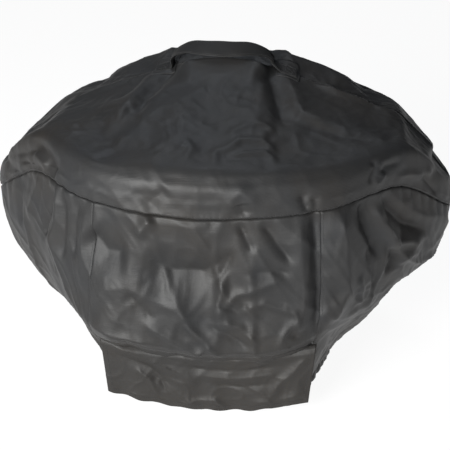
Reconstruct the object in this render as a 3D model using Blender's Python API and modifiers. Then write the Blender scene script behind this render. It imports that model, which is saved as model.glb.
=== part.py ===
"""Fitted fabric cover for a compact table-top gas grill, modelled in the shape it takes when worn.

Metres, +Z up, front towards -Y. The origin is the middle of the footprint, on the surface that the hem rests on.
The fabric is one surface with a rail of guide rings: rings run round the cover, from the arch seam over the top
down to the hem, and each ring is a smooth closed curve through the same seven stations on either half.
Every panel, seam tape and casing is cut from that one surface, so neighbours always follow each other.
"""

import math

import bmesh
import bpy
from mathutils import Vector

# ---------------------------------------------------------------- driving dimensions
FABRIC = 0.0012  # coated polyester, as a shell
TAPE = 0.0010  # seam tape inside the seams
SEAM_GAP = 0.0020  # between two panels, on their outer faces
TAPE_CLEARANCE = 0.0010  # between a panel's inner face and the tape under its seam
TAPE_REACH = 0.008  # of the tape to either side of its seam
RING_TAPE_TRIM = 0.10  # parts of a column that a tape round the cover stops short of its ends
UPRIGHT_TAPE_TRIM = 0.35  # parts of a row that an upright tape stops short of its ends
WING_TAPE_TRIM = 0.75

HEM_HEIGHT = 0.024  # of the casing that holds the elastic
HEM_WIDTH = 0.009
HEM_CHAMFER = 0.0025
HEM_INNER_HEIGHT = 0.018
ELASTIC_RADIUS = 0.0022
ELASTIC_HEIGHT = 0.0085

FLAP_AXIS_Y = -0.2550  # the line that the front flap bends along
FLAP_AXIS_Z = 0.1310
FLAP_TOP_Z = 0.1305
FLAP_TOP_CORNER_RISE = 0.020  # its top edge follows the seam, which is higher at its ends
FLAP_BOTTOM_Z = 0.006
FLAP_BOTTOM_CORNER_RISE = 0.026
FLAP_HALF_TOP = 0.199
FLAP_HALF_BOTTOM = 0.187
FLAP_CORNER_BACK = 0.006  # how far its side edges stand behind its middle
FLAP_ROWS = 4
FLAP_COLUMNS = 12
BINDING_WIDTH = 0.011  # of the folded strip behind the flap's free edges
BINDING = 0.0010
BINDING_GAP = 0.002  # between the side bindings and the one along the bottom
SIDE_BINDING_START = 0.08  # as a share of the flap's height, from its top

HANDLE_HALF = 0.098  # from the middle to where the strap leaves the fabric
HANDLE_JOINT_X = 0.091  # where the strap bends as it swings
SEWN_END_X = 0.0935  # where the sewn ends stop, below the bend
RISING_X = (0.0972, 0.0963, 0.0950, SEWN_END_X)  # where a sewn end rises from the fabric
PATCH_COLUMNS = (3.15, 3.65, 4.15, 4.65)  # of the fabric, under one sewn end
SEWN_COLUMNS = (4.35, 4.02, 3.68, 3.35)
TACK_COLUMNS = (3.70, 3.95, 4.20)
STRAP_END_X = 0.0893  # where the swinging strap starts, above the bend
HANDLE_Y = 0.086
HANDLE_BASE_Z = 0.5645  # middle of the strap's thickness, at its sewn ends
HANDLE_RISE = 0.054
HANDLE_ROUNDNESS = 0.6  # of its arch: 0.5 is an ellipse, and 1 a parabola
HANDLE_LEAN = math.radians(30)  # forwards, at the middle of the strap
STRAP_HALF_WIDTH = 0.0175
STRAP_HALF_WIDTH_AT_JOINT = 0.0125
STRAP_HALF_WIDTH_SEWN = 0.0155
WIDENING = 0.4  # share of its arch over which the strap gets from its narrow to its full width
STRAP_STEPS = 8  # from its middle to one end
STRAP = 0.0024
PATCH = 0.0012
PATCH_HALF_WIDTH = 0.021
BAR_TACK = 0.0010
TACK_HALF_WIDTH = 0.011
LAYER_GAP = 0.0005  # between pieces sewn on top of each other
PATCH_GAP = 0.0015  # between a patch and the fabric, which is rounder than the patch

COLUMNS_PER_STATION = 5
ACROSS_STEPS = (-1, -0.5, 0, 0.5, 1)  # across a strip or the strap, in half widths

FABRIC_COLOUR = (0.022, 0.022, 0.023, 1.0)
TAPE_COLOUR = (0.012, 0.012, 0.012, 1.0)
ELASTIC_COLOUR = (0.03, 0.03, 0.03, 1.0)
THREAD_COLOUR = (0.018, 0.018, 0.018, 1.0)

# Stations of a ring, for the half at +X: front middle, front corner (a side seam), front shoulder, wing tip,
# rear shoulder, rear corner (a side seam), rear middle.
FRONT, FRONT_SEAM, SHOULDER, TIP, REAR_SHOULDER, REAR_SEAM, REAR = range(7)
ARCH, TOP, RIDGE_IN, RIDGE, BAND, MAIN_SEAM, BULGE, WAIST, FLAP_SEAM, TUCK, HEM = range(11)

GUIDE_RINGS = {
    ARCH: ((0.000, 0.090, 0.580), (0.150, 0.076, 0.546), (0.270, 0.056, 0.507), (0.392, 0.026, 0.423),
           (0.270, 0.056, 0.507), (0.150, 0.076, 0.546), (0.000, 0.090, 0.580)),
    TOP: ((0.000, -0.086, 0.541), (0.150, -0.071, 0.533), (0.295, -0.021, 0.498), (0.414, 0.019, 0.404),
          (0.298, 0.110, 0.492), (0.142, 0.150, 0.562), (0.000, 0.165, 0.573)),
    RIDGE_IN: ((0.000, -0.226, 0.500), (0.170, -0.191, 0.500), (0.315, -0.091, 0.494), (0.429, 0.014, 0.388),
               (0.314, 0.150, 0.478), (0.170, 0.214, 0.514), (0.000, 0.229, 0.524)),
    RIDGE: ((0.000, -0.266, 0.476), (0.190, -0.229, 0.480), (0.336, -0.114, 0.483), (0.435, 0.014, 0.371),
            (0.330, 0.166, 0.458), (0.182, 0.240, 0.488), (0.000, 0.254, 0.496)),
    BAND: ((0.000, -0.277, 0.440), (0.198, -0.242, 0.444), (0.340, -0.124, 0.448), (0.437, 0.014, 0.350),
           (0.342, 0.172, 0.430), (0.187, 0.252, 0.440), (0.000, 0.270, 0.444)),
    MAIN_SEAM: ((0.000, -0.277, 0.405), (0.200, -0.246, 0.415), (0.333, -0.132, 0.421), (0.437, 0.014, 0.330),
                (0.344, 0.174, 0.396), (0.190, 0.257, 0.390), (0.000, 0.276, 0.388)),
    BULGE: ((0.000, -0.284, 0.310), (0.205, -0.254, 0.310), (0.338, -0.134, 0.305), (0.422, 0.014, 0.262),
            (0.341, 0.179, 0.300), (0.194, 0.264, 0.300), (0.000, 0.284, 0.300)),
    WAIST: ((0.000, -0.274, 0.215), (0.206, -0.250, 0.215), (0.313, -0.128, 0.200), (0.382, 0.014, 0.180),
            (0.316, 0.170, 0.200), (0.194, 0.258, 0.210), (0.000, 0.280, 0.210)),
    FLAP_SEAM: ((0.000, -0.249, 0.134), (0.200, -0.235, 0.153), (0.264, -0.112, 0.124), (0.316, 0.014, 0.102),
                (0.266, 0.150, 0.118), (0.184, 0.242, 0.124), (0.000, 0.268, 0.124)),
    TUCK: ((0.000, -0.222, 0.070), (0.178, -0.208, 0.072), (0.228, -0.102, 0.066), (0.264, 0.014, 0.056),
           (0.230, 0.134, 0.062), (0.168, 0.226, 0.066), (0.000, 0.256, 0.066)),
    HEM: ((0.000, -0.208, HEM_HEIGHT), (0.160, -0.192, HEM_HEIGHT), (0.208, -0.094, HEM_HEIGHT),
          (0.230, 0.014, HEM_HEIGHT), (0.208, 0.124, HEM_HEIGHT), (0.156, 0.218, HEM_HEIGHT),
          (0.000, 0.244, HEM_HEIGHT)),
}
ROWS_AFTER = {
    ARCH: 2, TOP: 2, RIDGE_IN: 1, RIDGE: 1, BAND: 1,
    MAIN_SEAM: 2, BULGE: 2, WAIST: 2, FLAP_SEAM: 2, TUCK: 2,
}


# ---------------------------------------------------------------- the fabric surface
def cubic(before, start, end, after, t):
    """The point at t, from 0 to 1, on a Catmull-Rom piece from start to end."""
    return 0.5 * (
        2 * start
        + (end - before) * t
        + (2 * before - 5 * start + 4 * end - after) * t * t
        + (3 * start - before - 3 * end + after) * t * t * t
    )


def whole_ring(half):
    """All twelve stations of a ring, from its front middle round by +X, out of the seven of one half."""
    right = [Vector(p) for p in half]
    left = [Vector((-p.x, p.y, p.z)) for p in right[REAR_SEAM:FRONT:-1]]
    return right + left


def ring_columns(half):
    """A ring's points, COLUMNS_PER_STATION for each station."""
    stations = whole_ring(half)
    count = len(stations)
    points = []
    for index in range(count):
        before, start = stations[index - 1], stations[index]
        end, after = stations[(index + 1) % count], stations[(index + 2) % count]
        for step in range(COLUMNS_PER_STATION):
            points.append(cubic(before, start, end, after, step / COLUMNS_PER_STATION))
    return points


def fabric_grid():
    """Rows of points from the arch seam to the hem, and the row that each guide ring is."""
    rings = [ring_columns(GUIDE_RINGS[key]) for key in GUIDE_RINGS]
    rows, row_of = [], {}
    last = len(rings) - 1
    for key in range(last):
        row_of[key] = len(rows)
        around = [rings[max(key - 1, 0)], rings[key], rings[key + 1], rings[min(key + 2, last)]]
        for step in range(ROWS_AFTER[key]):
            t = step / ROWS_AFTER[key]
            rows.append([cubic(*points, t) for points in zip(*around)])
    row_of[last] = len(rows)
    rows.append(rings[last])
    return rows, row_of


ROWS, ROW = fabric_grid()
COLUMNS = len(ROWS[0])
QUARTER = TIP * COLUMNS_PER_STATION  # the column at the wing tip at +X
SIDE_SEAM = FRONT_SEAM * COLUMNS_PER_STATION
REAR_SIDE_SEAM = REAR_SEAM * COLUMNS_PER_STATION


def point_at(row, column):
    """A point of the fabric, at a whole or part row and column."""
    row = min(max(row, 0), len(ROWS) - 1)
    low_row, low_column = math.floor(row), math.floor(column)
    high_row = min(low_row + 1, len(ROWS) - 1)
    along, across = row - low_row, column - low_column
    first = ROWS[low_row][low_column % COLUMNS].lerp(ROWS[low_row][(low_column + 1) % COLUMNS], across)
    second = ROWS[high_row][low_column % COLUMNS].lerp(ROWS[high_row][(low_column + 1) % COLUMNS], across)
    return first.lerp(second, along)


def normal_at(row, column):
    """The outward normal of the fabric, from the points one row and one column to either side."""
    low_row = max(row - 1, 0.25)
    down = point_at(row + 1, column) - point_at(low_row, column)
    round_it = point_at(max(row, 0.25), column + 1) - point_at(max(row, 0.25), column - 1)
    return round_it.cross(-down).normalized()


def inside(row, column, depth):
    return point_at(row, column) - normal_at(row, column) * depth


# ---------------------------------------------------------------- making objects
def clear_scene():
    for obj in list(bpy.data.objects):
        bpy.data.objects.remove(obj, do_unlink=True)


def new_material(name, colour, roughness):
    material = bpy.data.materials.new(name)
    material.use_nodes = True
    shader = material.node_tree.nodes["Principled BSDF"]
    shader.inputs["Base Color"].default_value = colour
    shader.inputs["Roughness"].default_value = roughness
    shader.inputs["Metallic"].default_value = 0.0
    return material


def add_object(name, mesh, material, parent=None):
    mesh.materials.append(material)
    obj = bpy.data.objects.new(name, mesh)
    COVER.objects.link(obj)
    if parent is not None:
        obj.parent = parent
        obj.matrix_parent_inverse = parent.matrix_world.inverted()
    return obj


def sheet_mesh(name, rows, closed=False):
    """An open surface through rows of points. Its faces look to the left of the rows' direction."""
    mesh = bpy.data.meshes.new(name)
    bm = bmesh.new()
    verts = [[bm.verts.new(p) for p in row] for row in rows]
    width = len(rows[0])
    for upper, lower in zip(verts, verts[1:]):
        for column in range(width if closed else width - 1):
            following = (column + 1) % width
            bm.faces.new((upper[column], lower[column], lower[following], upper[following]))
    bm.to_mesh(mesh)
    bm.free()
    return mesh


def solidify(obj, thickness, offset=-1.0):
    modifier = obj.modifiers.new("thickness", "SOLIDIFY")
    modifier.thickness = thickness
    modifier.offset = offset
    modifier.use_even_offset = True
    return modifier


def pulled_in(rows, gap):
    """The same rows with their outline pulled in by half a seam gap, so that neighbours stay apart."""
    rows = [[p.copy() for p in row] for row in rows]

    def move(point, towards):
        step = towards - point
        if step.length > gap:
            point += step.normalized() * (gap / 2)

    for row in rows:
        move(row[0], row[1])
        move(row[-1], row[-2])
    for first, second in zip(rows[0], rows[1]):
        move(first, second)
    for last, second in zip(rows[-1], rows[-2]):
        move(last, second)
    return rows


def panel(name, top_row, bottom_row, first_column, last_column):
    """A fabric panel between two rows and two columns of the fabric surface."""
    rows = [
        [point_at(row, column) for column in range(first_column, last_column + 1)]
        for row in range(top_row, bottom_row + 1)
    ]
    obj = add_object(name, sheet_mesh(name, pulled_in(rows, SEAM_GAP)), FABRIC_MATERIAL)
    solidify(obj, FABRIC)
    return obj


def ring_tape(name, row, first_column, last_column, trim):
    """Tape under a seam that runs round the cover, from the first column to the last, trimmed at both ends."""
    depth = FABRIC + TAPE_CLEARANCE
    above = (point_at(row, first_column) - point_at(row - 1, first_column)).length
    below = (point_at(row, first_column) - point_at(row + 1, first_column)).length
    rows = []
    for offset in (-TAPE_REACH / above, 0.0, TAPE_REACH / below):
        columns = [first_column + trim, *range(first_column + 1, last_column), last_column - trim]
        rows.append([inside(row + offset, column, depth) for column in columns])
    obj = add_object(name, sheet_mesh(name, rows), TAPE_MATERIAL)
    solidify(obj, TAPE)
    return obj


def side_tape(name, column, top_row, bottom_row, trim):
    """Tape under a seam that runs down the cover."""
    depth = FABRIC + TAPE_CLEARANCE
    rows = []
    for row in [top_row + trim, *range(top_row + 1, bottom_row), bottom_row - trim]:
        step = (point_at(row, column + 1) - point_at(row, column)).length
        reach = min(TAPE_REACH / step, 0.45)
        rows.append([inside(row, column + offset, depth) for offset in (-reach, 0.0, reach)])
    obj = add_object(name, sheet_mesh(name, rows), TAPE_MATERIAL)
    solidify(obj, TAPE)
    return obj


# ---------------------------------------------------------------- strips across the arch seam
def across_arch(column, offset, height):
    """A point near the arch seam, at a distance from the seam (front is negative) and a height off the fabric."""
    rear_column = 2 * QUARTER - column
    seam = point_at(0, column)
    up = (normal_at(0, column) + normal_at(0, rear_column)).normalized()
    side_column = column if offset < 0 else rear_column
    along = point_at(1, side_column) - seam
    point = seam + along.normalized() * abs(offset)
    return point + up * height


def arch_strip(name, columns, half_width, height, thickness, material):
    """A strip that lies across the arch seam, its middle surface at a height off the fabric."""
    rows = [[across_arch(column, side * half_width, height) for side in ACROSS_STEPS] for column in columns]
    obj = add_object(name, sheet_mesh(name, rows), material)
    solidify(obj, thickness, offset=0.0)
    return obj


# ---------------------------------------------------------------- sub-assemblies
def make_panels():
    panel("top_front_panel", ROW[ARCH], ROW[MAIN_SEAM], -QUARTER, QUARTER)
    panel("top_rear_panel", ROW[ARCH], ROW[MAIN_SEAM], QUARTER, 3 * QUARTER)
    panel("front_skirt_upper", ROW[MAIN_SEAM], ROW[FLAP_SEAM], -SIDE_SEAM, SIDE_SEAM)
    panel("front_skirt_lower", ROW[FLAP_SEAM], ROW[HEM], -SIDE_SEAM, SIDE_SEAM)
    panel("right_skirt", ROW[MAIN_SEAM], ROW[HEM], SIDE_SEAM, REAR_SIDE_SEAM)
    panel("left_skirt", ROW[MAIN_SEAM], ROW[HEM], -REAR_SIDE_SEAM, -SIDE_SEAM)
    panel("rear_skirt", ROW[MAIN_SEAM], ROW[HEM], REAR_SIDE_SEAM, COLUMNS - REAR_SIDE_SEAM)


def make_tapes():
    depth = FABRIC + TAPE_CLEARANCE + TAPE / 2
    reach = QUARTER - 2
    arch_strip("arch_seam_tape", range(-reach, reach + 1), TAPE_REACH, -depth, TAPE, TAPE_MATERIAL)
    side_tape("right_wing_tape", QUARTER, ROW[TOP], ROW[MAIN_SEAM], WING_TAPE_TRIM)
    side_tape("left_wing_tape", -QUARTER, ROW[TOP], ROW[MAIN_SEAM], WING_TAPE_TRIM)
    ring_tape("main_seam_tape_front", ROW[MAIN_SEAM], -QUARTER, QUARTER, RING_TAPE_TRIM)
    ring_tape("main_seam_tape_rear", ROW[MAIN_SEAM], QUARTER, 3 * QUARTER, RING_TAPE_TRIM)
    ring_tape("flap_seam_tape", ROW[FLAP_SEAM], -SIDE_SEAM, SIDE_SEAM, UPRIGHT_TAPE_TRIM)
    for side, name in ((1, "right"), (-1, "left")):
        side_tape(f"{name}_front_seam_tape", side * SIDE_SEAM, ROW[MAIN_SEAM], ROW[HEM], UPRIGHT_TAPE_TRIM)
        side_tape(f"{name}_rear_seam_tape", side * REAR_SIDE_SEAM, ROW[MAIN_SEAM], ROW[HEM], UPRIGHT_TAPE_TRIM)


def make_hem():
    """The casing is a channel that is open at the top, and the elastic lies along it."""
    edge = ROWS[-1]
    centre = Vector((0.0, 0.0, 0.0))
    profile = ((0.0, HEM_HEIGHT - SEAM_GAP), (0.0, HEM_CHAMFER), (HEM_CHAMFER, 0.0),
               (HEM_WIDTH - HEM_CHAMFER, 0.0), (HEM_WIDTH, HEM_CHAMFER), (HEM_WIDTH, HEM_INNER_HEIGHT))

    def inwards(point, distance, height):
        flat = Vector((point.x, point.y, 0.0))
        return flat + (centre - flat).normalized() * distance + Vector((0.0, 0.0, height))

    rows = [[inwards(point, distance, height) for point in edge] for distance, height in profile]
    casing = add_object("hem_casing", sheet_mesh("hem_casing", rows, closed=True), FABRIC_MATERIAL)
    solidify(casing, FABRIC)

    loop = [inwards(point, HEM_WIDTH / 2, ELASTIC_HEIGHT) for point in edge]
    curve = bpy.data.curves.new("hem_elastic", "CURVE")
    curve.dimensions = "3D"
    curve.bevel_depth = ELASTIC_RADIUS
    curve.bevel_resolution = 1
    curve.use_fill_caps = True
    spline = curve.splines.new("POLY")
    spline.points.add(len(loop) - 1)
    for target, point in zip(spline.points, loop):
        target.co = (*point, 1.0)
    spline.use_cyclic_u = True
    add_object("hem_elastic", curve, ELASTIC_MATERIAL)


def arch_height(x):
    return HANDLE_RISE * (1 - (x / HANDLE_HALF) ** 2) ** HANDLE_ROUNDNESS


def strap_row(x):
    """Points across the strap at x, between its two bends. It arches up and leans forwards in the middle."""
    share = 1 - (x / HANDLE_HALF) ** 2
    height = arch_height(x)
    lean = HANDLE_LEAN * share
    joint_share = 1 - (HANDLE_JOINT_X / HANDLE_HALF) ** 2
    widening = min(1.0, max(0.0, (share - joint_share) / WIDENING))
    half_width = STRAP_HALF_WIDTH_AT_JOINT + (STRAP_HALF_WIDTH - STRAP_HALF_WIDTH_AT_JOINT) * widening
    middle = Vector((x, HANDLE_Y - height * math.sin(lean), HANDLE_BASE_Z + height * math.cos(lean)))
    across = Vector((0.0, math.cos(lean), math.sin(lean)))
    return [middle + across * side * half_width for side in ACROSS_STEPS]


def make_handle():
    lift = PATCH_GAP + PATCH / 2
    strap_height = PATCH_GAP + PATCH + LAYER_GAP + STRAP / 2
    tack_height = strap_height + STRAP / 2 + LAYER_GAP + BAR_TACK / 2
    for side, name in ((1, "right"), (-1, "left")):
        patch_columns = [side * column for column in PATCH_COLUMNS]
        flat_columns = [side * column for column in SEWN_COLUMNS]
        if side < 0:
            patch_columns.reverse()
        arch_strip(f"handle_{name}_patch", patch_columns, PATCH_HALF_WIDTH, lift, PATCH, FABRIC_MATERIAL)

        rows = [[across_arch(column, step * STRAP_HALF_WIDTH_SEWN, strap_height) for step in ACROSS_STEPS]
                for column in flat_columns]
        rows += [strap_row(side * x) for x in RISING_X]
        if side > 0:
            rows.reverse()
        obj = add_object(f"handle_{name}_end", sheet_mesh(f"handle_{name}_end", rows), STRAP_MATERIAL)
        solidify(obj, STRAP, offset=0.0)

        tack_columns = [side * column for column in TACK_COLUMNS]
        if side < 0:
            tack_columns.reverse()
        tack_name = f"handle_{name}_bar_tack"
        arch_strip(tack_name, tack_columns, TACK_HALF_WIDTH, tack_height, BAR_TACK, THREAD_MATERIAL)

    pivot = bpy.data.objects.new("handle_pivot", None)
    pivot.location = (0.0, HANDLE_Y, HANDLE_BASE_Z + arch_height(HANDLE_JOINT_X))
    COVER.objects.link(pivot)
    bpy.context.view_layer.update()
    last_angle = math.asin(STRAP_END_X / HANDLE_HALF)
    angles = [last_angle * step / STRAP_STEPS for step in range(-STRAP_STEPS, STRAP_STEPS + 1)]
    rows = [strap_row(HANDLE_HALF * math.sin(angle)) for angle in angles]
    strap = add_object("handle_strap", sheet_mesh("handle_strap", rows), STRAP_MATERIAL, parent=pivot)
    solidify(strap, STRAP, offset=0.0)


def flap_point(across, down, depth=0.0):
    """A point of the flap: across from -1 to 1, down from 0 to 1, at a depth behind its face."""
    half = FLAP_HALF_TOP + (FLAP_HALF_BOTTOM - FLAP_HALF_TOP) * down
    top = FLAP_TOP_Z + FLAP_TOP_CORNER_RISE * across * across
    bottom = FLAP_BOTTOM_Z + FLAP_BOTTOM_CORNER_RISE * across * across
    y = FLAP_AXIS_Y + FLAP_CORNER_BACK * across * across + depth
    return Vector((half * across, y, top + (bottom - top) * down))


def flap_strip(name, acrosses, downs, parent, material, thickness, depth=0.0):
    rows = [[flap_point(across, down, depth) for across in acrosses] for down in downs]
    obj = add_object(name, sheet_mesh(name, rows), material, parent)
    solidify(obj, thickness)
    return obj


def make_flap():
    hinge = bpy.data.objects.new("flap_hinge", None)
    hinge.location = (0.0, FLAP_AXIS_Y, FLAP_AXIS_Z)
    COVER.objects.link(hinge)
    bpy.context.view_layer.update()

    everywhere = [-1 + 2 * step / FLAP_COLUMNS for step in range(FLAP_COLUMNS + 1)]
    flap_strip("flap_panel", everywhere, [step / FLAP_ROWS for step in range(FLAP_ROWS + 1)], hinge,
               FABRIC_MATERIAL, FABRIC)

    behind = FABRIC + LAYER_GAP
    height = FLAP_TOP_Z - FLAP_BOTTOM_Z
    share_down = BINDING_WIDTH / height
    share_across = BINDING_WIDTH / FLAP_HALF_BOTTOM
    bottom_top = 1 - share_down
    side_start, side_end = SIDE_BINDING_START, bottom_top - BINDING_GAP / height
    flap_strip("flap_bottom_binding", everywhere,
               (bottom_top, 1.0), hinge, TAPE_MATERIAL, BINDING, behind)
    side_downs = [side_start + (side_end - side_start) * step / FLAP_ROWS for step in range(FLAP_ROWS + 1)]
    flap_strip("flap_right_binding", (1 - share_across, 1.0), side_downs, hinge, TAPE_MATERIAL, BINDING, behind)
    flap_strip("flap_left_binding", (-1.0, share_across - 1), side_downs, hinge, TAPE_MATERIAL, BINDING, behind)


clear_scene()
COVER = bpy.data.collections.new("grill_cover")
bpy.context.scene.collection.children.link(COVER)
FABRIC_MATERIAL = new_material("coated_fabric", FABRIC_COLOUR, 0.55)
TAPE_MATERIAL = new_material("seam_tape", TAPE_COLOUR, 0.75)
ELASTIC_MATERIAL = new_material("elastic", ELASTIC_COLOUR, 0.8)
STRAP_MATERIAL = new_material("strap_fabric", FABRIC_COLOUR, 0.6)
THREAD_MATERIAL = new_material("thread", THREAD_COLOUR, 0.7)

make_panels()
make_tapes()
make_hem()
make_handle()
make_flap()
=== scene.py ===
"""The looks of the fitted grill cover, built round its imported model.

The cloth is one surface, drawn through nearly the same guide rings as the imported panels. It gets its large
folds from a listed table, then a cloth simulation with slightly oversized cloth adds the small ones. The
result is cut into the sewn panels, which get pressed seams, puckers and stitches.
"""

import math

import bpy
import numpy as np
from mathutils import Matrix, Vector, noise


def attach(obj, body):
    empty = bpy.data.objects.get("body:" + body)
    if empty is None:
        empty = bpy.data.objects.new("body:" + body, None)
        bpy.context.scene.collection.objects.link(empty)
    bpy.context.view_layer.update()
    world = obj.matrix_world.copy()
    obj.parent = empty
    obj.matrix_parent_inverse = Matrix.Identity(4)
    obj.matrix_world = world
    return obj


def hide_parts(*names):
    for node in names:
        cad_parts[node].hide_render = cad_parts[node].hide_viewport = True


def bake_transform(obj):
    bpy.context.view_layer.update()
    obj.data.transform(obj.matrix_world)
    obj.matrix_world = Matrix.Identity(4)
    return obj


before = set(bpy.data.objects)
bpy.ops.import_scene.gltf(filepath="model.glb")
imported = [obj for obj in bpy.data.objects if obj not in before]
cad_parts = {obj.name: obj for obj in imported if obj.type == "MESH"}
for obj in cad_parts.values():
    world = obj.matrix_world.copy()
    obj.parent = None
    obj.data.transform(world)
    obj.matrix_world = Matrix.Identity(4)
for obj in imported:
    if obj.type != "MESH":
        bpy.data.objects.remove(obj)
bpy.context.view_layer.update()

# ---------------------------------------------------------------- the cloth's surface
# Guide rings from the arch seam to the hem. Stations of the half at +X: front middle, front side seam, front
# shoulder, wing tip, rear shoulder, rear side seam, rear middle. A place on the cloth is (u, v): u counts
# stations round the cover from the front middle by +X, and v counts rings downwards.
HEM_Z = 0.024
GUIDE_RINGS = (
    ((0.0, 0.09, 0.58), (0.15, 0.076, 0.546), (0.27, 0.056, 0.507), (0.392, 0.026, 0.423),
     (0.27, 0.056, 0.507), (0.15, 0.076, 0.546), (0.0, 0.09, 0.58)),
    ((0.0, -0.086, 0.541), (0.15, -0.071, 0.533), (0.295, -0.021, 0.498), (0.414, 0.019, 0.404),
     (0.298, 0.11, 0.492), (0.142, 0.15, 0.562), (0.0, 0.165, 0.573)),
    ((0.0, -0.23, 0.494), (0.17, -0.193, 0.496), (0.315, -0.091, 0.494), (0.429, 0.014, 0.388),
     (0.314, 0.15, 0.478), (0.17, 0.214, 0.514), (0.0, 0.229, 0.524)),
    ((0.0, -0.27, 0.466), (0.19, -0.231, 0.473), (0.336, -0.114, 0.483), (0.435, 0.014, 0.371),
     (0.33, 0.166, 0.458), (0.182, 0.24, 0.488), (0.0, 0.254, 0.496)),
    ((0.0, -0.277, 0.44), (0.198, -0.242, 0.444), (0.34, -0.124, 0.448), (0.437, 0.014, 0.35),
     (0.342, 0.172, 0.43), (0.187, 0.252, 0.44), (0.0, 0.27, 0.444)),
    ((0.0, -0.277, 0.405), (0.2, -0.246, 0.415), (0.333, -0.132, 0.421), (0.437, 0.014, 0.33),
     (0.344, 0.174, 0.396), (0.19, 0.257, 0.39), (0.0, 0.276, 0.388)),
    ((0.0, -0.284, 0.31), (0.205, -0.254, 0.31), (0.338, -0.134, 0.305), (0.422, 0.014, 0.262),
     (0.341, 0.179, 0.3), (0.194, 0.264, 0.3), (0.0, 0.284, 0.3)),
    ((0.0, -0.274, 0.215), (0.206, -0.25, 0.215), (0.313, -0.128, 0.2), (0.382, 0.014, 0.18),
     (0.316, 0.17, 0.2), (0.194, 0.258, 0.21), (0.0, 0.28, 0.21)),
    ((0.0, -0.249, 0.134), (0.2, -0.235, 0.153), (0.264, -0.112, 0.124), (0.316, 0.014, 0.102),
     (0.266, 0.15, 0.118), (0.184, 0.242, 0.124), (0.0, 0.268, 0.124)),
    ((0.0, -0.222, 0.07), (0.178, -0.208, 0.072), (0.228, -0.102, 0.066), (0.264, 0.014, 0.056),
     (0.23, 0.134, 0.062), (0.168, 0.226, 0.066), (0.0, 0.256, 0.066)),
    ((0.0, -0.208, HEM_Z), (0.16, -0.192, HEM_Z), (0.208, -0.094, HEM_Z), (0.23, 0.014, HEM_Z),
     (0.208, 0.124, HEM_Z), (0.156, 0.218, HEM_Z), (0.0, 0.244, HEM_Z)),
)
ARCH, TOP, RIDGE_IN, RIDGE, BAND, MAIN_SEAM, BULGE, WAIST, FLAP_SEAM, TUCK, HEM = range(11)
STATIONS = 12
FRONT_SEAM, TIP, REAR_SEAM = 1, 3, 5

# The simulated grid's rows between two rings, and its columns between two stations.
ROWS_PER_RING = (13, 11, 4, 3, 3, 7, 7, 6, 5, 4)
COLUMNS_PER_STATION = 14


def whole_rings():
    """Every ring's twelve stations, as an array of rings by stations by xyz."""
    rings = []
    for half in GUIDE_RINGS:
        left = [(-x, y, z) for x, y, z in half[5:0:-1]]
        rings.append([*half, *left])
    return np.array(rings)


RINGS = whole_rings()


def catmull_rom(before, start, end, after, t):
    t = t[..., None]
    return 0.5 * (
        2 * start
        + (end - before) * t
        + (2 * before - 5 * start + 4 * end - after) * t**2
        + (3 * start - before - 3 * end + after) * t**3
    )


def cloth_point(u, v):
    """Points of the undisturbed cloth, for arrays of u and v."""
    u, v = np.broadcast_arrays(np.asarray(u, float), np.asarray(v, float))
    ring = np.clip(np.floor(v).astype(int), 0, HEM - 1)
    station = np.floor(u).astype(int)

    def on_ring(index):
        index = np.clip(index, 0, HEM)
        around = (RINGS[index, (station + step) % STATIONS] for step in (-1, 0, 1, 2))
        return catmull_rom(*around, u - station)

    return catmull_rom(*(on_ring(ring + step) for step in (-1, 0, 1, 2)), v - ring)


def simulated_lines():
    """The u and v of the simulated grid's columns and rows."""
    rows = [ring + step / count for ring, count in enumerate(ROWS_PER_RING) for step in range(count)]
    columns = [step / COLUMNS_PER_STATION for step in range(STATIONS * COLUMNS_PER_STATION)]
    return np.array(columns), np.array([*rows, float(HEM)])


COLUMNS, ROWS = simulated_lines()
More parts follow.
